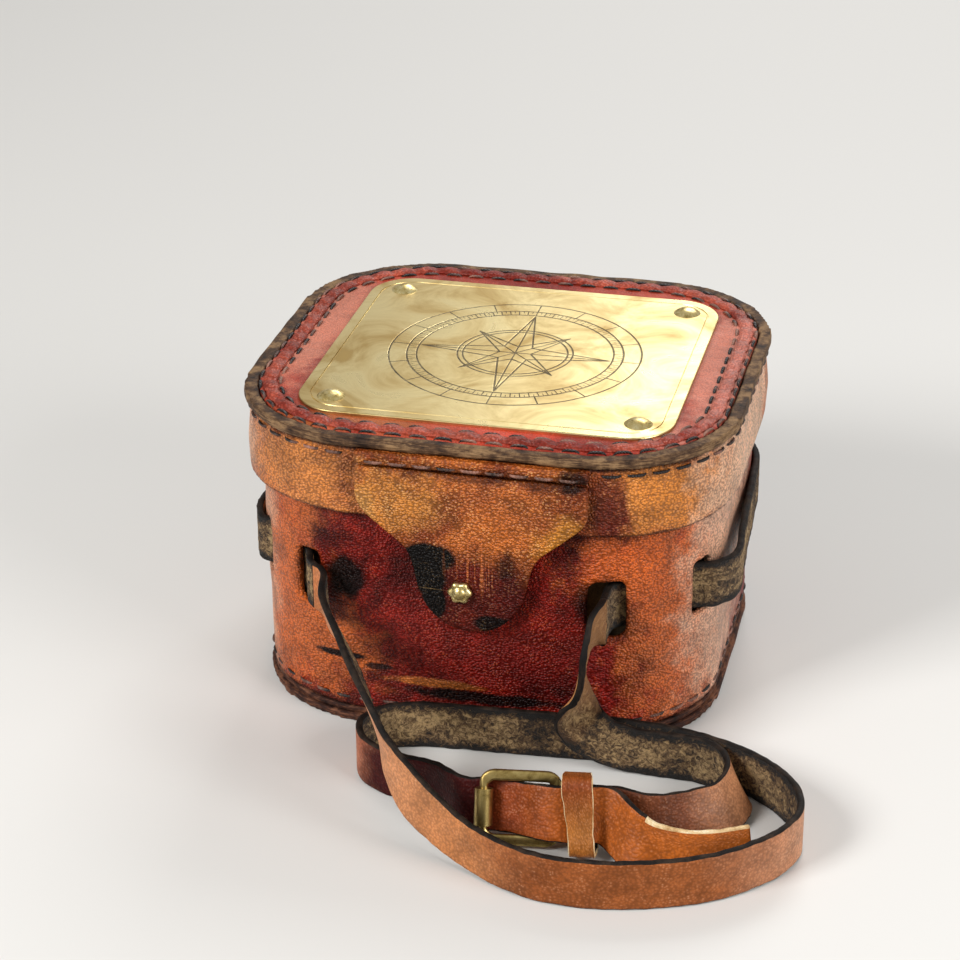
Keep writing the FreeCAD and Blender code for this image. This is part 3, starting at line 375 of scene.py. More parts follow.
# A panel of softer split leather, dyed red and faded to salmon where light reaches it. A split has
# little grain of its own, so it shows small shallow pebbles and hardly any shine.
faded_top_leather = leather(
    "faded_salmon_split_leather", "#86200f", "#b84428", "#f0a68a",
    patches=(
        ((63, 8, 95), (10, 54, 9), "#cc7a62", 0.9),
        ((-62, 10, 95), (9, 46, 9), "#c87a60", 0.85),
        ((-38, -58, 95), (26, 7, 9), "#a4561e", 0.8),
        ((12, -58, 95), (15, 7, 9), "#cc3410", 0.8),
        ((42, -57, 95), (18, 7, 9), "#8a1c10", 0.7),
        ((55, -48, 95), (8, 9, 9), "#cb7c66", 0.8),
        ((-50, -50, 95), (7, 7, 9), "#7a2c14", 0.6),
    ),
    pebble=0.6, shine=(0.45, 0.7), relief=0.10, grain=0.4,
)
worked("lid_panel", "lid_top_leather", 0.9, 0.2, 12, faded_top_leather, "lid")

# A narrow strip of the same leather, folded double and drawn down by its stitches, so that it puffs
# up between them like a cord. Its folds are polished a little paler than the panel.


def rounded_path(width, depth, radius, step):
    """Places round a rounded rectangle at an even step, in millimetres, each with its way out and the
    length of the path up to it."""
    places = []
    across, along = width / 2 - radius, depth / 2 - radius
    turns = ((across, along, 0), (-across, along, 90), (-across, -along, 180), (across, -along, 270))
    for index, (x, y, start) in enumerate(turns):
        count = max(int(radius * math.pi / 2 / step), 4)
        for part in range(count):
            angle = math.radians(start + 90 * part / count)
            out = (math.cos(angle), math.sin(angle))
            places.append((x + radius * out[0], y + radius * out[1], *out))
        angle = math.radians(start + 90)
        out = (math.cos(angle), math.sin(angle))
        first = (x + radius * out[0], y + radius * out[1])
        following = turns[(index + 1) % 4]
        last = (following[0] + radius * out[0], following[1] + radius * out[1])
        run = math.hypot(last[0] - first[0], last[1] - first[1])
        count = max(int(run / step), 1)
        for part in range(count):
            share = part / count
            x_now, y_now = first[0] + (last[0] - first[0]) * share, first[1] + (last[1] - first[1]) * share
            places.append((x_now, y_now, *out))
    path = [(*places[0], 0.0)]
    for place in places[1:]:
        path.append((*place, path[-1][4] + math.hypot(place[0] - path[-1][0], place[1] - path[-1][1])))
    return path


def ring_faces(rings, count, closed=False, start=0):
    """Faces between rings of count points each, the first numbered start; an open row gets end caps."""
    faces = []
    for ring in range(rings if closed else rings - 1):
        low, high = start + ring * count, start + (ring + 1) % rings * count
        for column in range(count):
            beside = (column + 1) % count
            faces.append((low + column, low + beside, high + beside, high + column))
    if not closed:
        end = start + (rings - 1) * count
        faces.append(tuple(range(start, start + count))[::-1])
        faces.append(tuple(range(end, end + count)))
    return faces


def built(name, points, faces, materials, smooth=True):
    """An object made of faces through points in millimetres."""
    mesh = bpy.data.meshes.new(name)
    mesh.from_pydata([tuple(np.array(point) / 1000) for point in points], [], faces)
    for material in materials:
        mesh.materials.append(material)
    mesh.polygons.foreach_set("use_smooth", [smooth] * len(faces))
    piece = bpy.data.objects.new(name, mesh)
    scene.collection.objects.link(piece)
    return piece


def skinned(name, grid, closed, zones, materials, lengths, marks):
    """A skin through rings of points. zones gives each side's material, and lengths along the rings
    and marks across them are laid out flat for the hide's pattern, in millimetres."""
    rows, count = len(grid), len(grid[0])
    faces = ring_faces(rows, count, closed)
    piece = built(name, [point for ring in grid for point in ring], faces, materials)
    mesh = piece.data
    strips = rows if closed else rows - 1
    owners = list(zones) * strips + [zones[-1]] * (len(faces) - strips * count)
    mesh.polygons.foreach_set("material_index", owners)
    flat = mesh.uv_layers.new(name="hide")
    for face in mesh.polygons:
        wrapped = closed and face.index // count == rows - 1
        for corner, vertex in zip(face.loop_indices, face.vertices):
            row, column = divmod(vertex, count)
            along = lengths[-1] + lengths[1] if wrapped and row == 0 else lengths[row]
            flat.data[corner].uv = (along / 1000, marks[column] / 1000)
    mesh.validate()
    return piece


puffed_braid_leather = leather(
    "puffed_braid_leather", "#7a2012", "#b24c34", "#f6b49c",
    patches=(
        ((66, 0, 96), (9, 50, 9), "#c0705e", 0.8),
        ((-66, 10, 96), (9, 44, 9), "#8c3a28", 0.6),
    ),
    pebble=0.8, shine=(0.4, 0.6), relief=0.14, grain=0.6,
)
braid_width, braid_depth, braid_radius = 134.3, 122.85, 34.1
braid_pitch, braid_foot = 7.4, 95.38
arch_steps, foot_steps = 15, 3
braid_grid, braid_lengths = [], []
for x, y, out_x, out_y, reach in rounded_path(braid_width, braid_depth, braid_radius, 0.8):
    phase = reach / braid_pitch * math.pi
    puff = abs(math.sin(phase)) ** 0.7
    # the cord is narrow and low at a stitch, and wide and high between two
    half = 1.75 + 0.55 * puff
    high = 0.55 + 0.95 * puff
    sway = 0.35 * math.sin(2 * phase)
    ring = []
    for step in range(arch_steps):
        angle = math.pi * step / (arch_steps - 1)
        side = math.cos(angle) * half + sway * math.sin(angle)
        fold = 1 - 0.28 * math.exp(-((step - 4.5 - 3 * math.cos(2 * phase)) / 1.1) ** 2)
        ring.append((x + out_x * side, y + out_y * side, braid_foot + math.sin(angle) ** 0.8 * high * fold))
    for step in range(1, foot_steps + 1):
        side = half * (-1 + 2 * step / (foot_steps + 1))
        ring.append((x + out_x * side, y + out_y * side, braid_foot))
    braid_grid.append(ring)
    braid_lengths.append(reach)
braid_sides = arch_steps + foot_steps
braid = skinned(
    "puffed_braid", braid_grid, True, [0] * braid_sides, [puffed_braid_leather], braid_lengths,
    [0.6 * step for step in range(braid_sides)],
)
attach(braid, "lid")
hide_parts("lid_braid")

# The seams are sewn by hand with linen thread, which is drawn tight. Each stitch rises out of its
# hole, lies along the seam and goes down again.

# Waxed linen of two plies, which show as slanting ridges about a millimetre apart. Wax and dirt have
# blackened it, with dusty pink places where it is rubbed, and it shines dully.
waxed_thread, tree = fresh_material("waxed_linen_thread")
place = in_millimetres(tree)
plies = add(tree, "TexWave", {
    "Vector": place, "Scale": 0.55, "Distortion": 0.4,
}, wave_type="BANDS", bands_direction="DIAGONAL")
wax = add(tree, "TexNoise", {"Vector": place, "Scale": 0.12, "Detail": 4.0})
surfaced(tree, plies.outputs[1], 0.7, 0.2, {
    "Base Color": blended(tree, wax, 0.48, 0.68, "#140a07", "#9a6a58"), "Roughness": 0.48, "IOR": 1.45,
})


def islands(node):
    """The corner points of each separate stitch in a CAD node, in millimetres."""
    draft = bmesh.new()
    draft.from_mesh(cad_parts[node].data)
    bmesh.ops.remove_doubles(draft, verts=draft.verts, dist=1e-6)
    taken = set()
    groups = []
    for start in draft.verts:
        if start in taken:
            continue
        taken.add(start)
        group, edge = [start], [start]
        while edge:
            for link in edge.pop().link_edges:
                for vertex in link.verts:
                    if vertex not in taken:
                        taken.add(vertex)
                        group.append(vertex)
                        edge.append(vertex)
        groups.append(np.array([vertex.co[:] for vertex in group]) * 1000)
    draft.free()
    return groups


def turned_out(piece):
    """Makes all faces of a piece look outward."""
    draft = bmesh.new()
    draft.from_mesh(piece.data)
    bmesh.ops.recalc_face_normals(draft, faces=draft.faces)
    draft.to_mesh(piece.data)
    draft.free()


thread_radius, stitch_half = 0.52, 2.75
thread_crest, thread_droop = 0.18, 0.85
thread_rings, thread_sides = 9, 8


def sewn(node, body, sink=0.15):
    """A row of rounded thread stitches in place of the CAD ones, drawn into the leather by sink."""
    points, faces = [], []
    for corners in islands(node):
        middle = corners.mean(axis=0)
        along, side, out = np.linalg.svd(corners - middle)[2]
        away = Vector((middle[0], middle[1], 0)) if abs(out[2]) < 0.7 else Vector((0, 0, 1))
        if Vector(out).dot(away) < 0:
            out = -out
        faces += ring_faces(thread_rings, thread_sides, start=len(points))
        for ring in range(thread_rings):
            share = 2 * ring / (thread_rings - 1) - 1
            thick = thread_radius * (0.72 + 0.28 * math.cos(share * math.pi / 2))
            rise = thread_crest - sink - thread_droop * share ** 4
            for step in range(thread_sides):
                angle = 2 * math.pi * step / thread_sides
                points.append(
                    middle + along * share * stitch_half + side * thick * math.cos(angle)
                    + out * (rise + 0.75 * thick * math.sin(angle))
                )
    row = built("sewn_" + node, points, faces, [waxed_thread])
    turned_out(row)
    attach(row, body)
    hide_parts(node)


sewn("base_stitching", "case", sink=0.4)
sewn("hinge_stitches_lower", "case")
for node in (
    "lid_stitching_outer", "lid_stitching_inner", "skirt_stitching", "flap_stitching", "hinge_stitches_upper",
):
    sewn(node, "lid")

# A tongue of the skirt's leather, sewn under the rim by a folded root. It hangs over the front, where
# fingers have polished it gold at its edges, and its slit is pushed over the stud.


def pulled_streaks(tree, place, colour):
    """Upright pale streaks, under a millimetre wide, where the leather is pulled over the stud."""
    thin = add(tree, "VectorMath", {0: place, 1: (1.25, 0.0, 0.03)}, operation="MULTIPLY")
    lines = add(tree, "TexNoise", {"Vector": thin, "Scale": 1.0, "Detail": 3.0, "Roughness": 0.6})
    narrow = add(tree, "MapRange", {"Value": lines, "From Min": 0.52, "From Max": 0.62, "To Max": 0.75})
    apart = add(tree, "VectorMath", {0: place, 1: (4, -71, 60)}, operation="SUBTRACT")
    shares = add(tree, "VectorMath", {0: apart, 1: (8, 20, 11)}, operation="DIVIDE")
    far = add(tree, "VectorMath", {0: shares}, operation="LENGTH")
    near = add(tree, "MapRange", {"Value": far, "From Min": 1.2, "From Max": 0.4})
    amount = add(tree, "Math", {0: narrow, 1: near}, operation="MULTIPLY")
    return add(tree, "Mix", {0: amount, 6: colour, 7: "#c8682c"}, data_type="RGBA")


gold_flap_leather = leather(
    "gold_polished_flap_leather", "#8a3a10", "#c4661e", "#f8c880",
    patches=(
        ((-20, -71, 78), (15, 9, 12), "#cc8030", 0.85),
        ((31, -71, 66), (8, 9, 13), "#dc8c28", 0.9, 0.4),
        ((-30, -71, 72), (5, 9, 10), "#d8984a", 0.75, 0.4),
        ((6, -71, 88), (28, 9, 3.0), "#35110a", 0.7, 0.4),
        ((12, -71, 80), (20, 9, 7), "#b05a20", 0.5),
        ((3, -71, 49), (20, 9, 16), "#5a0c05", 0.97, 0.25),
        # painted shade: a near-black wedge down the tongue's left side, beside the stud
        ((-9.5, -71, 60.5), (9.5, 9, 5.0), "#080302", 1.0, 0.14),
        ((-9, -71, 54.5), (6.5, 9, 7.5), "#080302", 1.0, 0.14),
        ((-7.6, -71, 46.5), (4.2, 9, 6.5), "#080302", 1.0, 0.14),
        ((10, -71, 41), (7, 9, 3.0), "#0c0302", 0.97, 0.2),
        ((14, -71, 60), (3, 9, 5), "#2c0803", 0.8, 0.4),
        ((33, -71, 89), (5, 9, 4), "#130604", 0.9, 0.3),
    ),
    pebble=0.9, over=pulled_streaks,
)
fold_height = 88


def flap_moves(spot, way):
    """The tongue bows out over the stud, and it is thinned where it folds at its root."""
    bow = 0.5 * math.exp(-((spot.x - 1) / 12) ** 2 - ((spot.z - 51) / 12) ** 2) * (1 if way.y < 0 else -1)
    return bow - 0.45 * math.exp(-((spot.z - fold_height) / 1.6) ** 2)


def root_moves(spot, way):
    """The root is thinned where the tongue folds back on it."""
    return -0.4 * math.exp(-((spot.z - fold_height) / 1.6) ** 2)


worked("closure_flap", "flap_leather", 0.7, 0.3, 13, gold_flap_leather, "flap", flap_moves)
worked("flap_root", "flap_root_leather", 0.7, 0.1, 7, gold_flap_leather, "lid", root_moves)

# The hinge at the back is a strip of goat leather that bends along the joint. It is sewn to the wall
# below and to the skirt above, and dyed like each of them.
worked("hinge_leaf_lower", "hinge_leather_lower", 0.8, 0.25, 11, ox_blood_wall_leather, "case")
worked("hinge_leaf_upper", "hinge_leather_upper", 0.8, 0.25, 11, worn_skirt_leather, "lid")

# Inside, the box has a stiff shell and the lid a board, faced with dark green-brown suede. A felt
# pad lies on the floor of the box.


def napped(name, dark, pale, nap):
    """Suede or felt with a brushed nap, its tufts nap millimetres wide: soft patches, without gloss,
    and a faint light bloom at its edges."""
    material, tree = fresh_material(name)
    place = in_millimetres(tree)
    brushed = add(tree, "TexNoise", {"Vector": place, "Scale": 0.06, "Detail": 5.0, "Roughness": 0.6})
    fibres = add(tree, "TexNoise", {"Vector": place, "Scale": 1 / nap, "Detail": 4.0, "Roughness": 0.8})
    tone = add(tree, "Math", {0: brushed, 1: fibres}, operation="MULTIPLY")
    surfaced(tree, fibres, 0.7, 0.3, {
        "Base Color": blended(tree, tone, 0.12, 0.42, dark, pale), "Roughness": 0.95, "Sheen Weight": 0.12,
        "Sheen Roughness": 0.5,
    })
    return material


lining_suede = napped("olive_brown_suede", "#2e2110", "#7a5f38", 0.5)
pad_felt = napped("dark_green_wool_felt", "#1a2418", "#46553c", 0.8)
worked("liner_shell", "shell_lining", 1.1, 0.15, 14, lining_suede, "case")
worked("lid_lining", "lid_lining_suede", 0.9, 0.15, 14, lining_suede, "lid")


def pad_moves(spot, way):
    """The pad is thicker in its middle than at its rim."""
    crown = max(0, 1 - (spot.x / 62) ** 4 - (spot.y / 58) ** 4)
    return 0.7 * crown * max(way.z, 0)


worked("base_pad", "felt_pad", 0.9, 0.2, 9, pad_felt, "case", pad_moves)

# The lid's board is mill board, rolled from paper pulp: flat and grey-brown, with flecks about a
# millimetre wide, and quite dull.
grey_board, tree = fresh_material("grey_mill_board")
place = in_millimetres(tree)
pulp = add(tree, "TexNoise", {"Vector": place, "Scale": 1.2, "Detail": 6.0, "Roughness": 0.7})
pulp_colour = add(tree, "Mix", {0: pulp, 6: "#5b5348", 7: "#8b8172"}, data_type="RGBA")
surfaced(tree, pulp, 0.4, 0.2, {"Base Color": pulp_colour, "Roughness": 0.85})


def dressed(node, material):
    """Gives a CAD node whose shape is right its finish."""
    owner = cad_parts[node]
    owner.data.materials.clear()
    owner.data.materials.append(material)


dressed("lid_board", grey_board)

# A rolled brass plate with rounded corners and an engraved border line. Its middle is engraved with a
# traditional compass rose in a graduated ring. It is polished, with soft smears.
plaque_middle = (0.8, -1.2)
plaque_size = (112.5, 106.0)
plaque_corner = 13.8
border_inset, border_width, border_slope = 3.3, 0.55, 0.12
plate_low, plate_high = 95.4, 96.3
border_floor = plate_high - 0.25

# Polished brass: a warm mirror broken by fine hairlines along one way and by tarnish in soft clouds
# some 30 mm across. The cuts hold dark wax. Real hairlines and cuts are finer than the render's
# pixels, so the hairlines are drawn half a millimetre apart and the cuts half a millimetre wide.
polished_brass, tree = fresh_material("engraved_polished_brass")
place = in_millimetres(tree)
smear = add(tree, "TexNoise", {
    "Vector": place, "Scale": 0.035, "Detail": 6.0, "Roughness": 0.6, "Distortion": 1.2,
})
brushed = add(tree, "VectorMath", {0: place, 1: (0.05, 2.2, 1.0)}, operation="MULTIPLY")
hairlines = add(tree, "TexNoise", {"Vector": brushed, "Scale": 1.0, "Detail": 5.0, "Roughness": 0.8})
brass_colour = blended(tree, smear, 0.40, 0.64, "#e4d096", "#a2864a")
centred = add(tree, "VectorMath", {0: place, 1: (*plaque_middle, 96)}, operation="SUBTRACT")
parts = add(tree, "SeparateXYZ", {0: centred})
across, along = parts.outputs[0], parts.outputs[1]
flat_place = add(tree, "CombineXYZ", {0: across, 1: along})
radius = add(tree, "VectorMath", {0: flat_place}, operation="LENGTH")
bearing = add(tree, "Math", {0: along, 1: across}, operation="ARCTAN2")
ring_radii = (16.0, 17.6, 30.0, 33.0, 38.5)
# marks round the ring: how many, from and to which radius, and how wide
graduations = ((72, 30.0, 33.0, 0.16), (16, 33.0, 38.5, 0.22), (144, 31.4, 33.0, 0.12))
# the rose's two sets of points: their turn, how far they reach, and how wide their feet are
rose_points = ((0.0, 29.0, 4.4), (math.pi / 4, 20.0, 3.4))
grooves = []
for ring in ring_radii:
    off = add(tree, "Math", {0: radius, 1: ring}, operation="SUBTRACT")
    away = add(tree, "Math", {0: off}, operation="ABSOLUTE")
    grooves.append(add(tree, "MapRange", {"Value": away, "From Min": 0.34, "From Max": 0.18}))
for count, low, high, width in graduations:
    # arc is the way from the nearest mark in millimetres, times count / (2 pi)
    turned = add(tree, "Math", {0: bearing, 1: count / (2 * math.pi)}, operation="MULTIPLY")
    within = add(tree, "Math", {0: turned, 1: 0.5}, operation="PINGPONG")
    arc = add(tree, "Math", {0: within, 1: radius}, operation="MULTIPLY")
    line = add(tree, "MapRange", {
        "Value": arc, "From Min": width * count / 5.2, "From Max": width * count / 9.0,
    })
    inner = add(tree, "Math", {0: radius, 1: low}, operation="GREATER_THAN")
    outer = add(tree, "Math", {0: radius, 1: high}, operation="LESS_THAN")
    gate = add(tree, "Math", {0: inner, 1: outer}, operation="MULTIPLY")
    grooves.append(add(tree, "Math", {0: line, 1: gate}, operation="MULTIPLY"))
for turn, reach, foot in rose_points:
    # each point is two straight cuts from its tip to a foot on each side, and a spine down its middle
    swung = add(tree, "Math", {0: bearing, 1: turn}, operation="ADD")
    folded = add(tree, "Math", {0: swung, 1: math.pi / 4}, operation="PINGPONG")
    x_part = add(tree, "Math", {0: folded}, operation="COSINE")
    y_part = add(tree, "Math", {0: folded}, operation="SINE")
    forward = add(tree, "Math", {0: x_part, 1: radius}, operation="MULTIPLY")
    sideways = add(tree, "Math", {0: y_part, 1: radius}, operation="MULTIPLY")
    slope = add(tree, "Math", {
        0: forward, 1: foot / (reach - foot), 2: -foot * reach / (reach - foot),
    }, operation="MULTIPLY_ADD")
    off = add(tree, "Math", {0: sideways, 1: slope}, operation="ADD")
    away = add(tree, "Math", {0: off}, operation="ABSOLUTE")
    edge = add(tree, "MapRange", {"Value": away, "From Min": 0.36, "From Max": 0.18})
    spine = add(tree, "MapRange", {"Value": sideways, "From Min": 0.28, "From Max": 0.14})
    inside = add(tree, "Math", {0: radius, 1: reach + 0.4}, operation="LESS_THAN")
    for stroke in (edge, spine):
        grooves.append(add(tree, "Math", {0: stroke, 1: inside}, operation="MULTIPLY"))
cut = grooves[0]
for groove in grooves[1:]:
    cut = add(tree, "Math", {0: cut, 1: groove}, operation="MAXIMUM")
worn_cut = add(tree, "MapRange", {"Value": hairlines, "From Min": 0.3, "From Max": 0.6, "To Min": 0.55})
filled = add(tree, "Math", {0: cut, 1: worn_cut}, operation="MULTIPLY")
brass_colour = add(tree, "Mix", {0: filled, 6: brass_colour, 7: "#2e2412"}, data_type="RGBA")
brass_rough = add(tree, "MapRange", {
    "Value": smear, "From Min": 0.3, "From Max": 0.7, "To Min": 0.24, "To Max": 0.42,
})
sunk = add(tree, "Math", {0: filled, 1: -1.0}, operation="MULTIPLY")
level = add(tree, "Math", {0: hairlines, 1: 0.012, 2: sunk}, operation="MULTIPLY_ADD")
surfaced(tree, level, 0.7, 0.12, {"Base Color": brass_colour, "Metallic": 1.0, "Roughness": brass_rough})

# the plate's profile from its edge inwards: inset and height
plate_levels = (
    (0.0, plate_low), (0.0, plate_high - 0.28), (0.08, plate_high - 0.10), (0.28, plate_high),
    (border_inset, plate_high), (border_inset + border_slope, border_floor),
    (border_inset + border_width - border_slope, border_floor), (border_inset + border_width, plate_high),
)
plate_ring = rounded_path(*plaque_size, plaque_corner, 1.2)
plate_points = [
    (x - out_x * inset + plaque_middle[0], y - out_y * inset + plaque_middle[1], z)
    for inset, z in plate_levels for x, y, out_x, out_y, reach in plate_ring
]
plate_faces = ring_faces(len(plate_levels), len(plate_ring))
engraved_plaque = built("engraved_plaque", plate_points, plate_faces, [polished_brass], smooth=False)
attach(engraved_plaque, "lid")
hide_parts("brass_plaque")

# Four brass rivets with domed heads hold the plaque. They go through the lid and are burred over
# roves inside it, and hands have rubbed them bright.


def brass(name, bright, body_tone, crevice, rough, blotch):
    """Cast brass, handled and left to age: bright where it is rubbed, brown where it isn't, and dulled
    by pits less than half a millimetre wide. blotch is one over the size of its patches."""
    material, tree = fresh_material(name)
    place = in_millimetres(tree)
    age = add(tree, "TexNoise", {
        "Vector": place, "Scale": blotch, "Detail": 6.0, "Roughness": 0.65, "Distortion": 0.5,
    })
    tone = add(tree, "ValToRGB", {0: age}, stops=((0.34, crevice), (0.46, body_tone), (0.66, bright)))
    pits = add(tree, "TexNoise", {"Vector": place, "Scale": 2.4, "Detail": 4.0, "Roughness": 0.7})
    dull = add(tree, "MapRange", {
        "Value": age, "From Min": 0.3, "From Max": 0.7, "To Min": rough + 0.18, "To Max": rough,
    })
    surfaced(tree, pits, 0.2, 0.15, {"Base Color": tone, "Metallic": 1.0, "Roughness": dull})
    return material


rubbed_brass = brass("rubbed_rivet_brass", "#f0e2ac", "#cdb676", "#8f7a42", 0.26, 0.5)
antique_brass = brass("antique_buckle_brass", "#c4ae72", "#9c8650", "#6a5730", 0.27, 0.22)
for node in ("plaque_rivets", "rivet_burrs"):
    dressed(node, rubbed_brass)
    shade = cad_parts[node].modifiers.new("even_shade", "WEIGHTED_NORMAL")
    shade.keep_sharp = True

# A cast brass stud with a lobed head on a round post. The post goes through the wall and is riveted
# over a washer inside.
stud_x, stud_z = 0.5, 51.0
stud_sides, stud_lobes = 48, 6
# rings from the back of the post to the tip of the head: radius, y, and the depth of the lobes
head_rings = (
    (1.5, -63.0, 0), (1.5, -71.6, 0), (2.9, -71.6, 0.25), (3.3, -72.0, 0.5), (3.4, -72.6, 0.6),
    (3.0, -73.3, 0.55), (2.3, -73.6, 0.35), (1.9, -73.3, 0.1), (1.7, -73.7, 0.0), (1.2, -74.1, 0.0),
    (0.5, -74.25, 0.0),
)
stud_points = []
for ring_radius, ring_y, lobe in head_rings:
    for step in range(stud_sides):
        angle = 2 * math.pi * step / stud_sides
        wave = lobe * math.cos(stud_lobes * angle)
        far = ring_radius * (1 + 0.16 * wave) * (1 + 0.04 * lobe * math.sin(2 * angle + 0.7))
        stud_points.append((
            stud_x + far * math.cos(angle), ring_y - 0.12 * wave, stud_z + far * math.sin(angle),
        ))
lobed_stud = built("lobed_stud", stud_points, ring_faces(len(head_rings), stud_sides), [rubbed_brass])
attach(lobed_stud, "case")
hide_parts("closure_stud")
dressed("stud_washer", antique_brass)

# Two straps of the same hide, cut 15 mm wide. The grain side is dyed and polished, the flesh side is
# rough and grey-brown, and the cut edges are inked black, apart from the newly pared tip.
strap_half, strap_thickness, strap_step = 7.5, 2.0, 0.8


def strap_grain(name, length, tones):
    """Dyed grain side of a strap, flatter and duller than the case's; tones are places along its length,
    in shares, and their colours."""

    def along(tree, place, colour):
        parts = add(tree, "SeparateXYZ", {0: place})
        share = add(tree, "Math", {0: parts.outputs[0], 1: length}, operation="DIVIDE")
        drift = add(tree, "TexNoise", {"Vector": place, "Scale": 0.06, "Detail": 3.0})
        sway = add(tree, "MapRange", {"Value": drift, "To Min": -0.03, "To Max": 0.03})
        moved = add(tree, "Math", {0: sway, 1: share}, operation="ADD")
        dyed = add(tree, "ValToRGB", {0: moved}, stops=tones)
        worn = add(tree, "TexNoise", {"Vector": place, "Scale": 0.09, "Detail": 5.0, "Roughness": 0.7})
        return shaded(tree, dyed, worn, 0.32, 0.62, 0.62, 1.08)

    return leather(
        name, "#a86a40", "#c08a60", "#f4cca4", source="UV", shine=(0.44, 0.62), relief=0.09, grain=0.4,
        base=along,
    )


flesh_middle = 24.8


def flesh_side(name, painted_highlight_length=0.0):
    """The hide's raw flesh side: matted fibres with dark pits, fuzzy and without shine, darker towards
    its edges. Where a length in millimetres is given, that much of its start is painted golden, a
    painted highlight. The real fibres are finer than a tenth of a millimetre; they are drawn as tufts
    over a millimetre wide, which show."""
    material, tree = fresh_material(name)
    place = in_millimetres(tree, "UV")
    mats = add(tree, "TexNoise", {
        "Vector": place, "Scale": 0.6, "Detail": 7.0, "Roughness": 0.8, "Distortion": 1.0,
    })
    broad = add(tree, "TexNoise", {"Vector": place, "Scale": 0.07, "Detail": 4.0})
    tone = add(tree, "Math", {0: mats, 1: 0.7}, operation="MULTIPLY")
    mixed = add(tree, "Math", {0: broad, 1: 0.3, 2: tone}, operation="MULTIPLY_ADD")
    parts = add(tree, "SeparateXYZ", {0: place})
    off = add(tree, "Math", {0: parts.outputs[1], 1: flesh_middle}, operation="SUBTRACT")
    away = add(tree, "Math", {0: off}, operation="ABSOLUTE")
    border = add(tree, "MapRange", {"Value": away, "From Min": 4.6, "From Max": 7.6, "To Max": -0.13})
    level = add(tree, "Math", {0: mixed, 1: border}, operation="ADD")
    colour = add(tree, "ValToRGB", {0: level}, stops=((0.42, "#120b05"), (0.49, "#6c5032"), (0.58, "#caa874")))
    # painted highlight: the first stretch turns golden
    if painted_highlight_length > 0:
        wave = add(tree, "Math", {0: broad, 1: 16.0, 2: parts.outputs[0]}, operation="MULTIPLY_ADD")
        gold = add(tree, "Mix", {0: mats, 6: "#5a2a10", 7: "#dc9c58"}, data_type="RGBA")
        colour = blended(tree, wave, painted_highlight_length + 12, painted_highlight_length, colour, gold, 0.85)
    surfaced(tree, mats, 1.0, 1.8, {
        "Base Color": colour, "Roughness": 0.95, "Specular IOR Level": 0.2, "Sheen Weight": 0.08,
        "Sheen Roughness": 0.6,
    })
    return material


flesh = flesh_side("raw_flesh_side")
# a painted golden highlight on the first 34 mm, where the short strap leaves its slot
flesh_with_painted_highlight = flesh_side("flesh_painted_lit_at_the_slot", 34.0)
inked_edge = cut_edge("black_inked_edge", "#090706", "#16100c", "#33271e", "UV")
pared_edge = cut_edge("pared_cream_edge", "#b48a58", "#e6c795", "#f6e6c4", "UV")


def eased(stations, step):
    """Rows at an even step along a smooth line through given stations of place and edge way, and the
    length up to each."""
    rows = np.array(stations, float)
    gaps = np.linalg.norm(np.diff(rows[:, :3], axis=0), axis=1)
    slopes = np.diff(rows, axis=0) / gaps[:, None]
    tangents = np.empty_like(rows)
    tangents[0], tangents[-1] = slopes[0], slopes[-1]
    weights = gaps[:, None]
    tangents[1:-1] = (slopes[:-1] * weights[1:] + slopes[1:] * weights[:-1]) / (weights[1:] + weights[:-1])
    fine = []
    for index, gap in enumerate(gaps):
        count = max(int(gap / (step / 6)), 4)
        for part in np.arange(count) / count:
            square, cube = part ** 2, part ** 3
            fine.append(
                (2 * cube - 3 * square + 1) * rows[index] + (cube - 2 * square + part) * gap * tangents[index]
                + (3 * square - 2 * cube) * rows[index + 1] + (cube - square) * gap * tangents[index + 1]
            )
    fine.append(rows[-1])
    fine = np.array(fine)
    reach = np.concatenate([[0], np.cumsum(np.linalg.norm(np.diff(fine[:, :3], axis=0), axis=1))])
    even = np.linspace(0, reach[-1], max(int(reach[-1] / step), 8))
    return np.stack([np.interp(even, reach, fine[:, column]) for column in range(6)], 1), even


# Round the strap: its level from the flesh face (-1) to the grain face (1), and its mark across the
# width. Grain faces take the first material, flesh faces the second and the rounded edges the third.
across_marks = np.linspace(-1, 1, 15)
broad_faces, edge_faces = len(across_marks) - 1, 4
strap_section = (
    [(1.0, mark) for mark in across_marks] + [(0.72, 1.045), (0.0, 1.075), (-0.72, 1.045)]
    + [(-1.0, mark) for mark in across_marks[::-1]] + [(-0.72, -1.045), (0.0, -1.075), (0.72, -1.045)]
)
strap_zones = [0] * broad_faces + [2] * edge_faces + [1] * broad_faces + [2] * edge_faces
edge_rounding, lowest_height = 0.5, 0.06


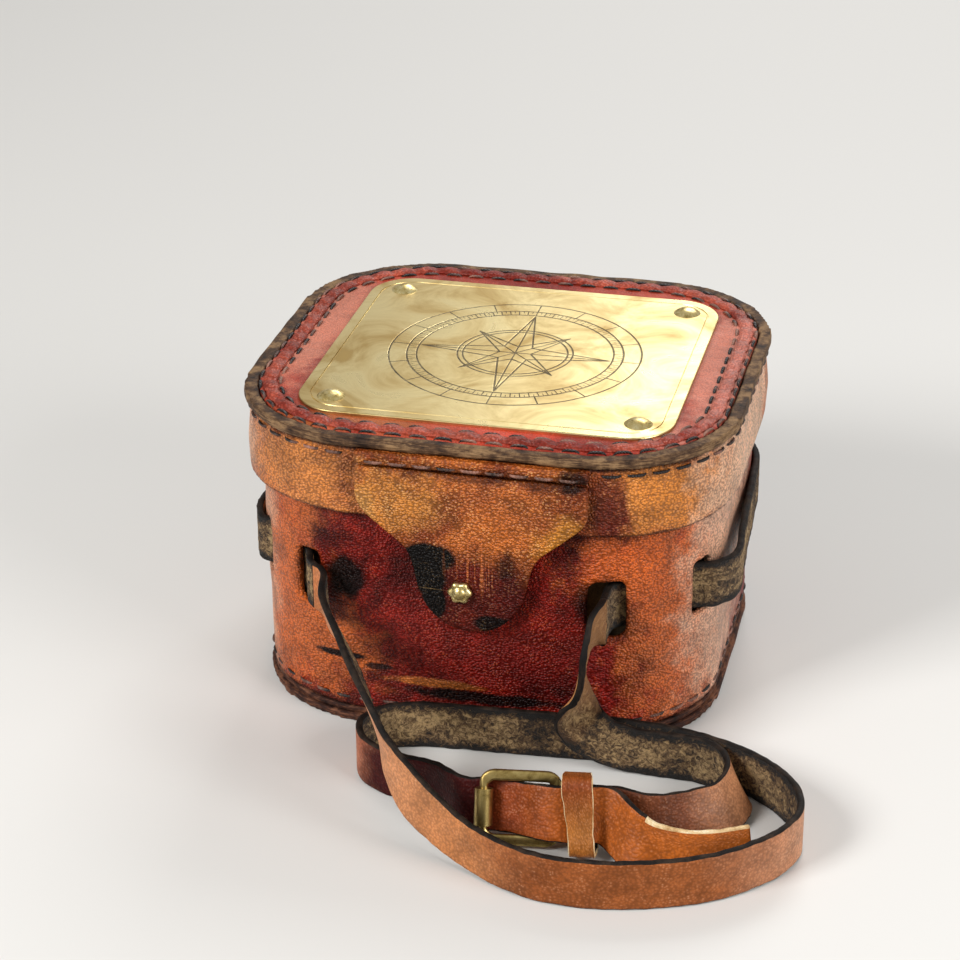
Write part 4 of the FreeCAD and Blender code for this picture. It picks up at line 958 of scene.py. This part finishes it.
def band(
    name, stations, materials, halves, flip=False, rough=0.45, pared_from=None, thickness=strap_thickness,
    closed=False,
):
    """A strip of hide along its stations. halves(share) gives its upper and lower half widths, rough is
    how far the flesh side's fibres stand up, and past pared_from its upper edge is freshly cut."""
    rows, lengths = eased(stations, strap_step)
    if closed:
        rows, lengths = rows[:-1], lengths[:-1]
    places = rows[:, :3]
    if closed:
        ways = np.roll(places, -1, 0) - np.roll(places, 1, 0)
    else:
        ways = np.gradient(places, axis=0)
    ways /= np.linalg.norm(ways, axis=1)[:, None]
    uppers = rows[:, 3:] - (rows[:, 3:] * ways).sum(1)[:, None] * ways
    uppers /= np.linalg.norm(uppers, axis=1)[:, None]
    outs = np.cross(ways, uppers) * (-1 if flip else 1)
    grid = []
    for place, upper, out, length in zip(places, uppers, outs, lengths):
        above, below = halves(length / lengths[-1])
        ring = []
        for level, mark in strap_section:
            half = above if mark > 0 else below
            wide = mark * (half - edge_rounding)
            spot = place + upper * wide + out * level * thickness / 2
            bend = 0.22 * noise.noise(Vector(place) / 11)
            if level < -0.9:
                bend += rough * (noise.noise(Vector(spot) / 1.1) - 0.5 * noise.noise(Vector(spot) / 2.7)) * 0.5
            ragged = 0.0
            if abs(mark) > 0.9:
                ragged = 0.30 * noise.noise(Vector(spot) / 3.1) * (1 if mark > 0 else -1)
            spot = spot + out * bend + upper * ragged
            spot[2] = max(spot[2], lowest_height)
            ring.append(spot)
        grid.append(ring)
    marks = []
    run = 0.0
    for (level, mark), after in zip(strap_section, strap_section[1:] + strap_section[:1]):
        marks.append(run)
        run += math.hypot((after[0] - level) * thickness / 2, (after[1] - mark) * strap_half)
    piece = skinned(name, grid, closed, strap_zones, materials, list(lengths), marks)
    if pared_from is not None:
        count = len(strap_section)
        for face in piece.data.polygons:
            row, side = divmod(face.index, count)
            skived = face.material_index == 2 or (face.material_index == 0 and side == broad_faces - 1)
            upper_side = side < broad_faces + edge_faces or face.index >= count * (len(grid) - 1)
            if skived and upper_side and row / len(grid) > pared_from:
                face.material_index = 3
    turned_out(piece)
    return piece


# The long strap leaves the left slot, drops to the table, runs out in a loop and back along the foot
# of the box, and ends at the tip behind the buckle. Each station is a place and the way of its upper edge.
lying_height = 7.6
long_strap_stations = [
    (-44.3, -67.7, 45.5, 0, 0, 1), (-42.2, -69.3, 45.5, 0, 0, 1),
    (-37.5, -79.3, 43.6, -0.14, -0.26, 0.95), (-28.9, -91.2, 39.8, -0.22, -0.41, 0.88),
    (-20.3, -103.7, 33.4, -0.20, -0.39, 0.90), (-13.8, -111.9, 27.7, -0.15, -0.26, 0.95),
    (-8.8, -118.5, 22.0, -0.06, -0.05, 1.00), (-1.7, -125.2, 16.3, 0.00, 0.10, 1.00),
    (7.6, -131.1, 11.6, 0.00, 0.08, 1.00), (17.0, -136.3, 8.7, 0, 0, 1),
]
for x, y in (
    (26.8, -141.4), (38, -145.6), (51, -146.6), (69, -143.1), (83, -137.1), (94, -128.6), (102, -118.1),
    (105, -109.1), (103.5, -99.1), (97, -89.1), (89, -82.6), (78, -77.1), (68, -74.1), (57, -72.5), (45, -72.2),
    (30, -73.3), (15, -74.3), (0, -75.1), (-12, -76.4), (-21, -80.2), (-25.5, -88.1), (-23, -97.1),
    (-15, -103.1), (-3.6, -106.2), (-1.0, -106.5),
):
    long_strap_stations.append((x, y, lying_height, 0, 0, 1))
for x, y, z in (
    (13.5, -117.2, 9.3), (18.1, -116.8, 9.5), (23.3, -117.1, 9.9), (29.7, -119.1, 11.0), (34.7, -121.3, 12.1),
    (39.4, -121.9, 12.6), (45.5, -120.1, 12.3), (51.6, -118.3, 11.9),
):
    long_strap_stations.append((x, y, z, -0.05, 0.37, 0.93))
long_strap_stations += [
    (64.0, -125.0, 8.5, 0, 0.39, 0.92), (73.5, -123.6, 7.8, 0, 0.41, 0.91), (83.5, -120.2, 7.6, 0, 0.41, 0.91),
    (92.6, -115.6, 7.6, 0, 0.41, 0.91),
]
pared_share = 0.935


def tip_width(share):
    """The strap widens a little towards its tip, which is pared away along its upper edge."""
    part = min(max((share - pared_share) / 0.045, 0), 1)
    swell = min(max((share - 0.86) / 0.04, 0), 1)
    return (strap_half + 0.5 * swell) * (1 - 0.45 * part * (2 - part)), strap_half + 1.2 * swell


long_length = eased(long_strap_stations, strap_step)[1][-1]
# from 0.765 to 0.838 the strap's dark red dye is painted near black as shade inside the loop
long_grain = strap_grain("tan_strap_grain", long_length, (
    (0.0, "#b86c38"), (0.06, "#cc9068"), (0.20, "#b87440"), (0.25, "#8a4612"), (0.34, "#96501c"),
    (0.43, "#c08a68"), (0.58, "#7c4424"), (0.70, "#b87850"), (0.745, "#a05838"), (0.765, "#380202"),
    (0.838, "#420402"), (0.855, "#8e3c10"), (0.90, "#b45a14"), (1.0, "#b86016"),
))
long_strap = band(
    "long_strap", long_strap_stations, [long_grain, flesh, inked_edge, pared_edge], tip_width,
    pared_from=pared_share,
)
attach(long_strap, "case")
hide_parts("strap_left_drop", "strap_outer_run", "strap_front_run", "strap_tip")

# The short strap leaves the right slot, twists as it falls, turns inside the loop and comes back to
# the buckle, where its end is folded round the heel bar.
short_strap_stations = [
    (42.2, -70.2, 45.5, 0, 0, 1), (42.1, -72.8, 45.5, 0, 0, 1), (40.2, -76.3, 43.2, 0.05, -0.60, 0.80),
    (39.2, -78.2, 40.2, 0.09, -0.89, 0.45), (38.4, -78.7, 36.4, 0.14, -0.98, 0.12),
    (37.8, -78.6, 31.9, 0.14, -0.99, 0.02), (36.9, -78.4, 26.6, -0.02, -1.00, 0.00),
    (36.1, -78.0, 21.6, -0.51, -0.86, -0.05), (37.2, -77.7, 15.6, -0.86, -0.41, -0.30),
    (43.0, -77.4, 10.6, -0.65, -0.10, -0.75), (51.3, -77.2, 8.2, -0.18, 0.00, -0.98),
    (61.9, -77.1, 7.6, 0.00, 0.00, -1.00), (72.0, -77.8, 7.6, 0.10, -0.05, -0.99),
    (80.4, -82.0, 7.6, 0.33, -0.10, -0.94), (85.3, -90.0, 7.4, 0.51, -0.18, -0.84),
    (83.6, -99.6, 7.4, 0.36, -0.42, -0.83), (74.8, -107.6, 7.6, 0.10, -0.45, -0.89),
    (64.0, -113.2, 8.5, 0.00, -0.40, -0.92), (53.8, -112.3, 9.6, 0.05, -0.37, -0.93),
    (51.2, -112.6, 9.6, 0.05, -0.37, -0.93),
]


def short_width(share):
    """The strap narrows a little where it enters the fold at the buckle."""
    part = min(max((share - 0.85) / 0.15, 0), 1)
    return strap_half - 0.7 * part, strap_half - 0.7 * part


short_length = eased(short_strap_stations, strap_step)[1][-1]
# the pale gold start is a painted highlight where the strap leaves the slot
short_grain = strap_grain("brown_strap_grain", short_length, (
    (0.0, "#e8b47a"), (0.15, "#d89a5c"), (0.35, "#b07448"), (0.5, "#a87048"), (0.72, "#b87c54"),
    (0.84, "#7c4020"), (1.0, "#5f2f18"),
))
short_strap = band(
    "short_strap", short_strap_stations, [short_grain, flesh_with_painted_highlight, inked_edge], short_width, rough=0.6,
)
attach(short_strap, "case")
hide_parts("strap_right_drop", "strap_chape_run")

# From slot to slot the strap goes through the side slots and round the back of the box, level and with
# its flesh side out.
slot_height = 45.5
left_side = [
    (-46.9, -64.4), (-47.9, -60.2), (-49.6, -56.6), (-52.5, -54.0), (-59.2, -46.9), (-61.7, -43.8),
    (-65.2, -42.0), (-68.8, -40.6), (-70.9, -36.6), (-71.9, -14.1), (-71.8, 0.0), (-71.8, 20.5),
    (-70.2, 39.0), (-60.2, 55.6), (-44.1, 65.8),
]
right_side = [
    (44.1, 65.8), (59.8, 55.8), (69.8, 40.1), (72.2, 20.5), (73.3, 0.0), (74.2, -14.1), (72.6, -37.2),
    (69.4, -40.5), (65.2, -42.0), (61.7, -43.8), (59.2, -46.9),
]
right_front = [(47.4, -57.5), (44.3, -59.0), (42.6, -61.0), (42.1, -63.7), (42.1, -66.6), (42.2, -70.0)]
back_path = [(-44.4, -67.6)] + left_side + [(0.0, 67.95)] + right_side + right_front
back_stations = [(x, y, slot_height, 0, 0, 1) for x, y in back_path]


def full_width(share):
    """The strap keeps its full width."""
    return strap_half, strap_half


back_strap = band("back_strap", back_stations, [short_grain, flesh, inked_edge], full_width, rough=0.35)
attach(back_strap, "case")
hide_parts("strap_back")

# The short strap's end is folded round the heel bar, which has creased it and darkened it.
chape_leather = leather("folded_chape_leather", "#6e3a1c", "#9a5c34", "#d8a070", pebble=0.9, relief=0.1)
worked("strap_chape", "folded_chape", 0.6, 0.1, 5, chape_leather, "case")

# A one-bar roller buckle: a frame bent from flattened brass rod, a tube that rolls on its front bar,
# and a prong on the heel bar. It leans back with the strap that it holds.
buckle_middle = np.array((28.665, -119.0, 10.9))
buckle_along = np.array((0.99027, 0.13917, 0.0))
buckle_up = np.array((-0.0517, 0.36785, 0.92845))
buckle_out = np.array((0.12921, -0.91941, 0.37147))
frame_length, frame_height, frame_bend = 20.4, 18.2, 3.0
rod_half, rod_sides = 1.2, 20
frame_grid, frame_lengths = [], []
for along, rise, out_along, out_rise, reach in rounded_path(frame_length, frame_height, frame_bend, 0.5):
    flat = min(max((abs(rise) - 6.2) / 1.6, 0), 1)
    wide = rod_half + 0.38 * flat
    deep = rod_half - 0.12 * flat
    power = 1 - 0.42 * flat
    centre = buckle_middle + buckle_along * along + buckle_up * rise
    in_plane = buckle_along * out_along + buckle_up * out_rise
    ring = []
    for step in range(rod_sides):
        angle = 2 * math.pi * step / rod_sides
        side = math.copysign(abs(math.cos(angle)) ** power, math.cos(angle)) * wide
        face = math.copysign(abs(math.sin(angle)) ** power, math.sin(angle)) * deep
        ring.append(centre + in_plane * side + buckle_out * face)
    frame_grid.append(ring)
    frame_lengths.append(reach)
rod_frame = skinned(
    "flattened_rod_frame", frame_grid, True, [0] * rod_sides, [antique_brass], frame_lengths,
    [0.4 * step for step in range(rod_sides)],
)
turned_out(rod_frame)
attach(rod_frame, "buckle")
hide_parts("buckle_frame")
dressed("buckle_roller", antique_brass)
dressed("buckle_prong", antique_brass)

# A loop of thin leather, its ends sewn together behind, that holds the tip to the strap. Its cut
# edges are left bare, cream coloured.
keeper_start, keeper_width, keeper_thickness = 12.6, 8.4, 1.2
# its way round the straps, out of the buckle's plane and up it
keeper_round = (
    (-5.5, -7.2), (-5.5, 7.6), (-5.0, 8.8), (-3.6, 9.4), (4.6, 10.2), (6.2, 9.9), (6.95, 8.9), (7.1, 4.5),
    (7.1, 0.0), (7.3, -5.0), (7.6, -9.6), (7.2, -11.0), (5.6, -11.2), (-3.4, -9.0), (-5.0, -8.3),
)
keeper_stations = []
for out, up in keeper_round[::-1] + keeper_round[-1:]:
    middle = keeper_start + keeper_width / 2 - 0.10 * up
    spot = buckle_middle + buckle_along * middle + buckle_out * out + buckle_up * up
    keeper_stations.append((*spot, *buckle_along))
keeper_length = eased(keeper_stations, strap_step)[1][-1]
keeper_grain = strap_grain("orange_keeper_grain", keeper_length, (
    (0.0, "#9c5212"), (0.3, "#b26c28"), (0.5, "#8a3e0c"), (0.75, "#b4702e"), (1.0, "#9c5212"),
))


def keeper_half(share):
    """The loop is a little narrower at its middle, and its corners flare."""
    flare = 0.35 * math.cos(4 * math.pi * share)
    return keeper_width / 2 + flare, keeper_width / 2 + flare


keeper = band(
    "leather_keeper", keeper_stations, [keeper_grain, flesh, pared_edge], keeper_half, flip=True,
    rough=0.15, thickness=keeper_thickness, closed=True,
)
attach(keeper, "keeper")
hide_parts("keeper_loop")
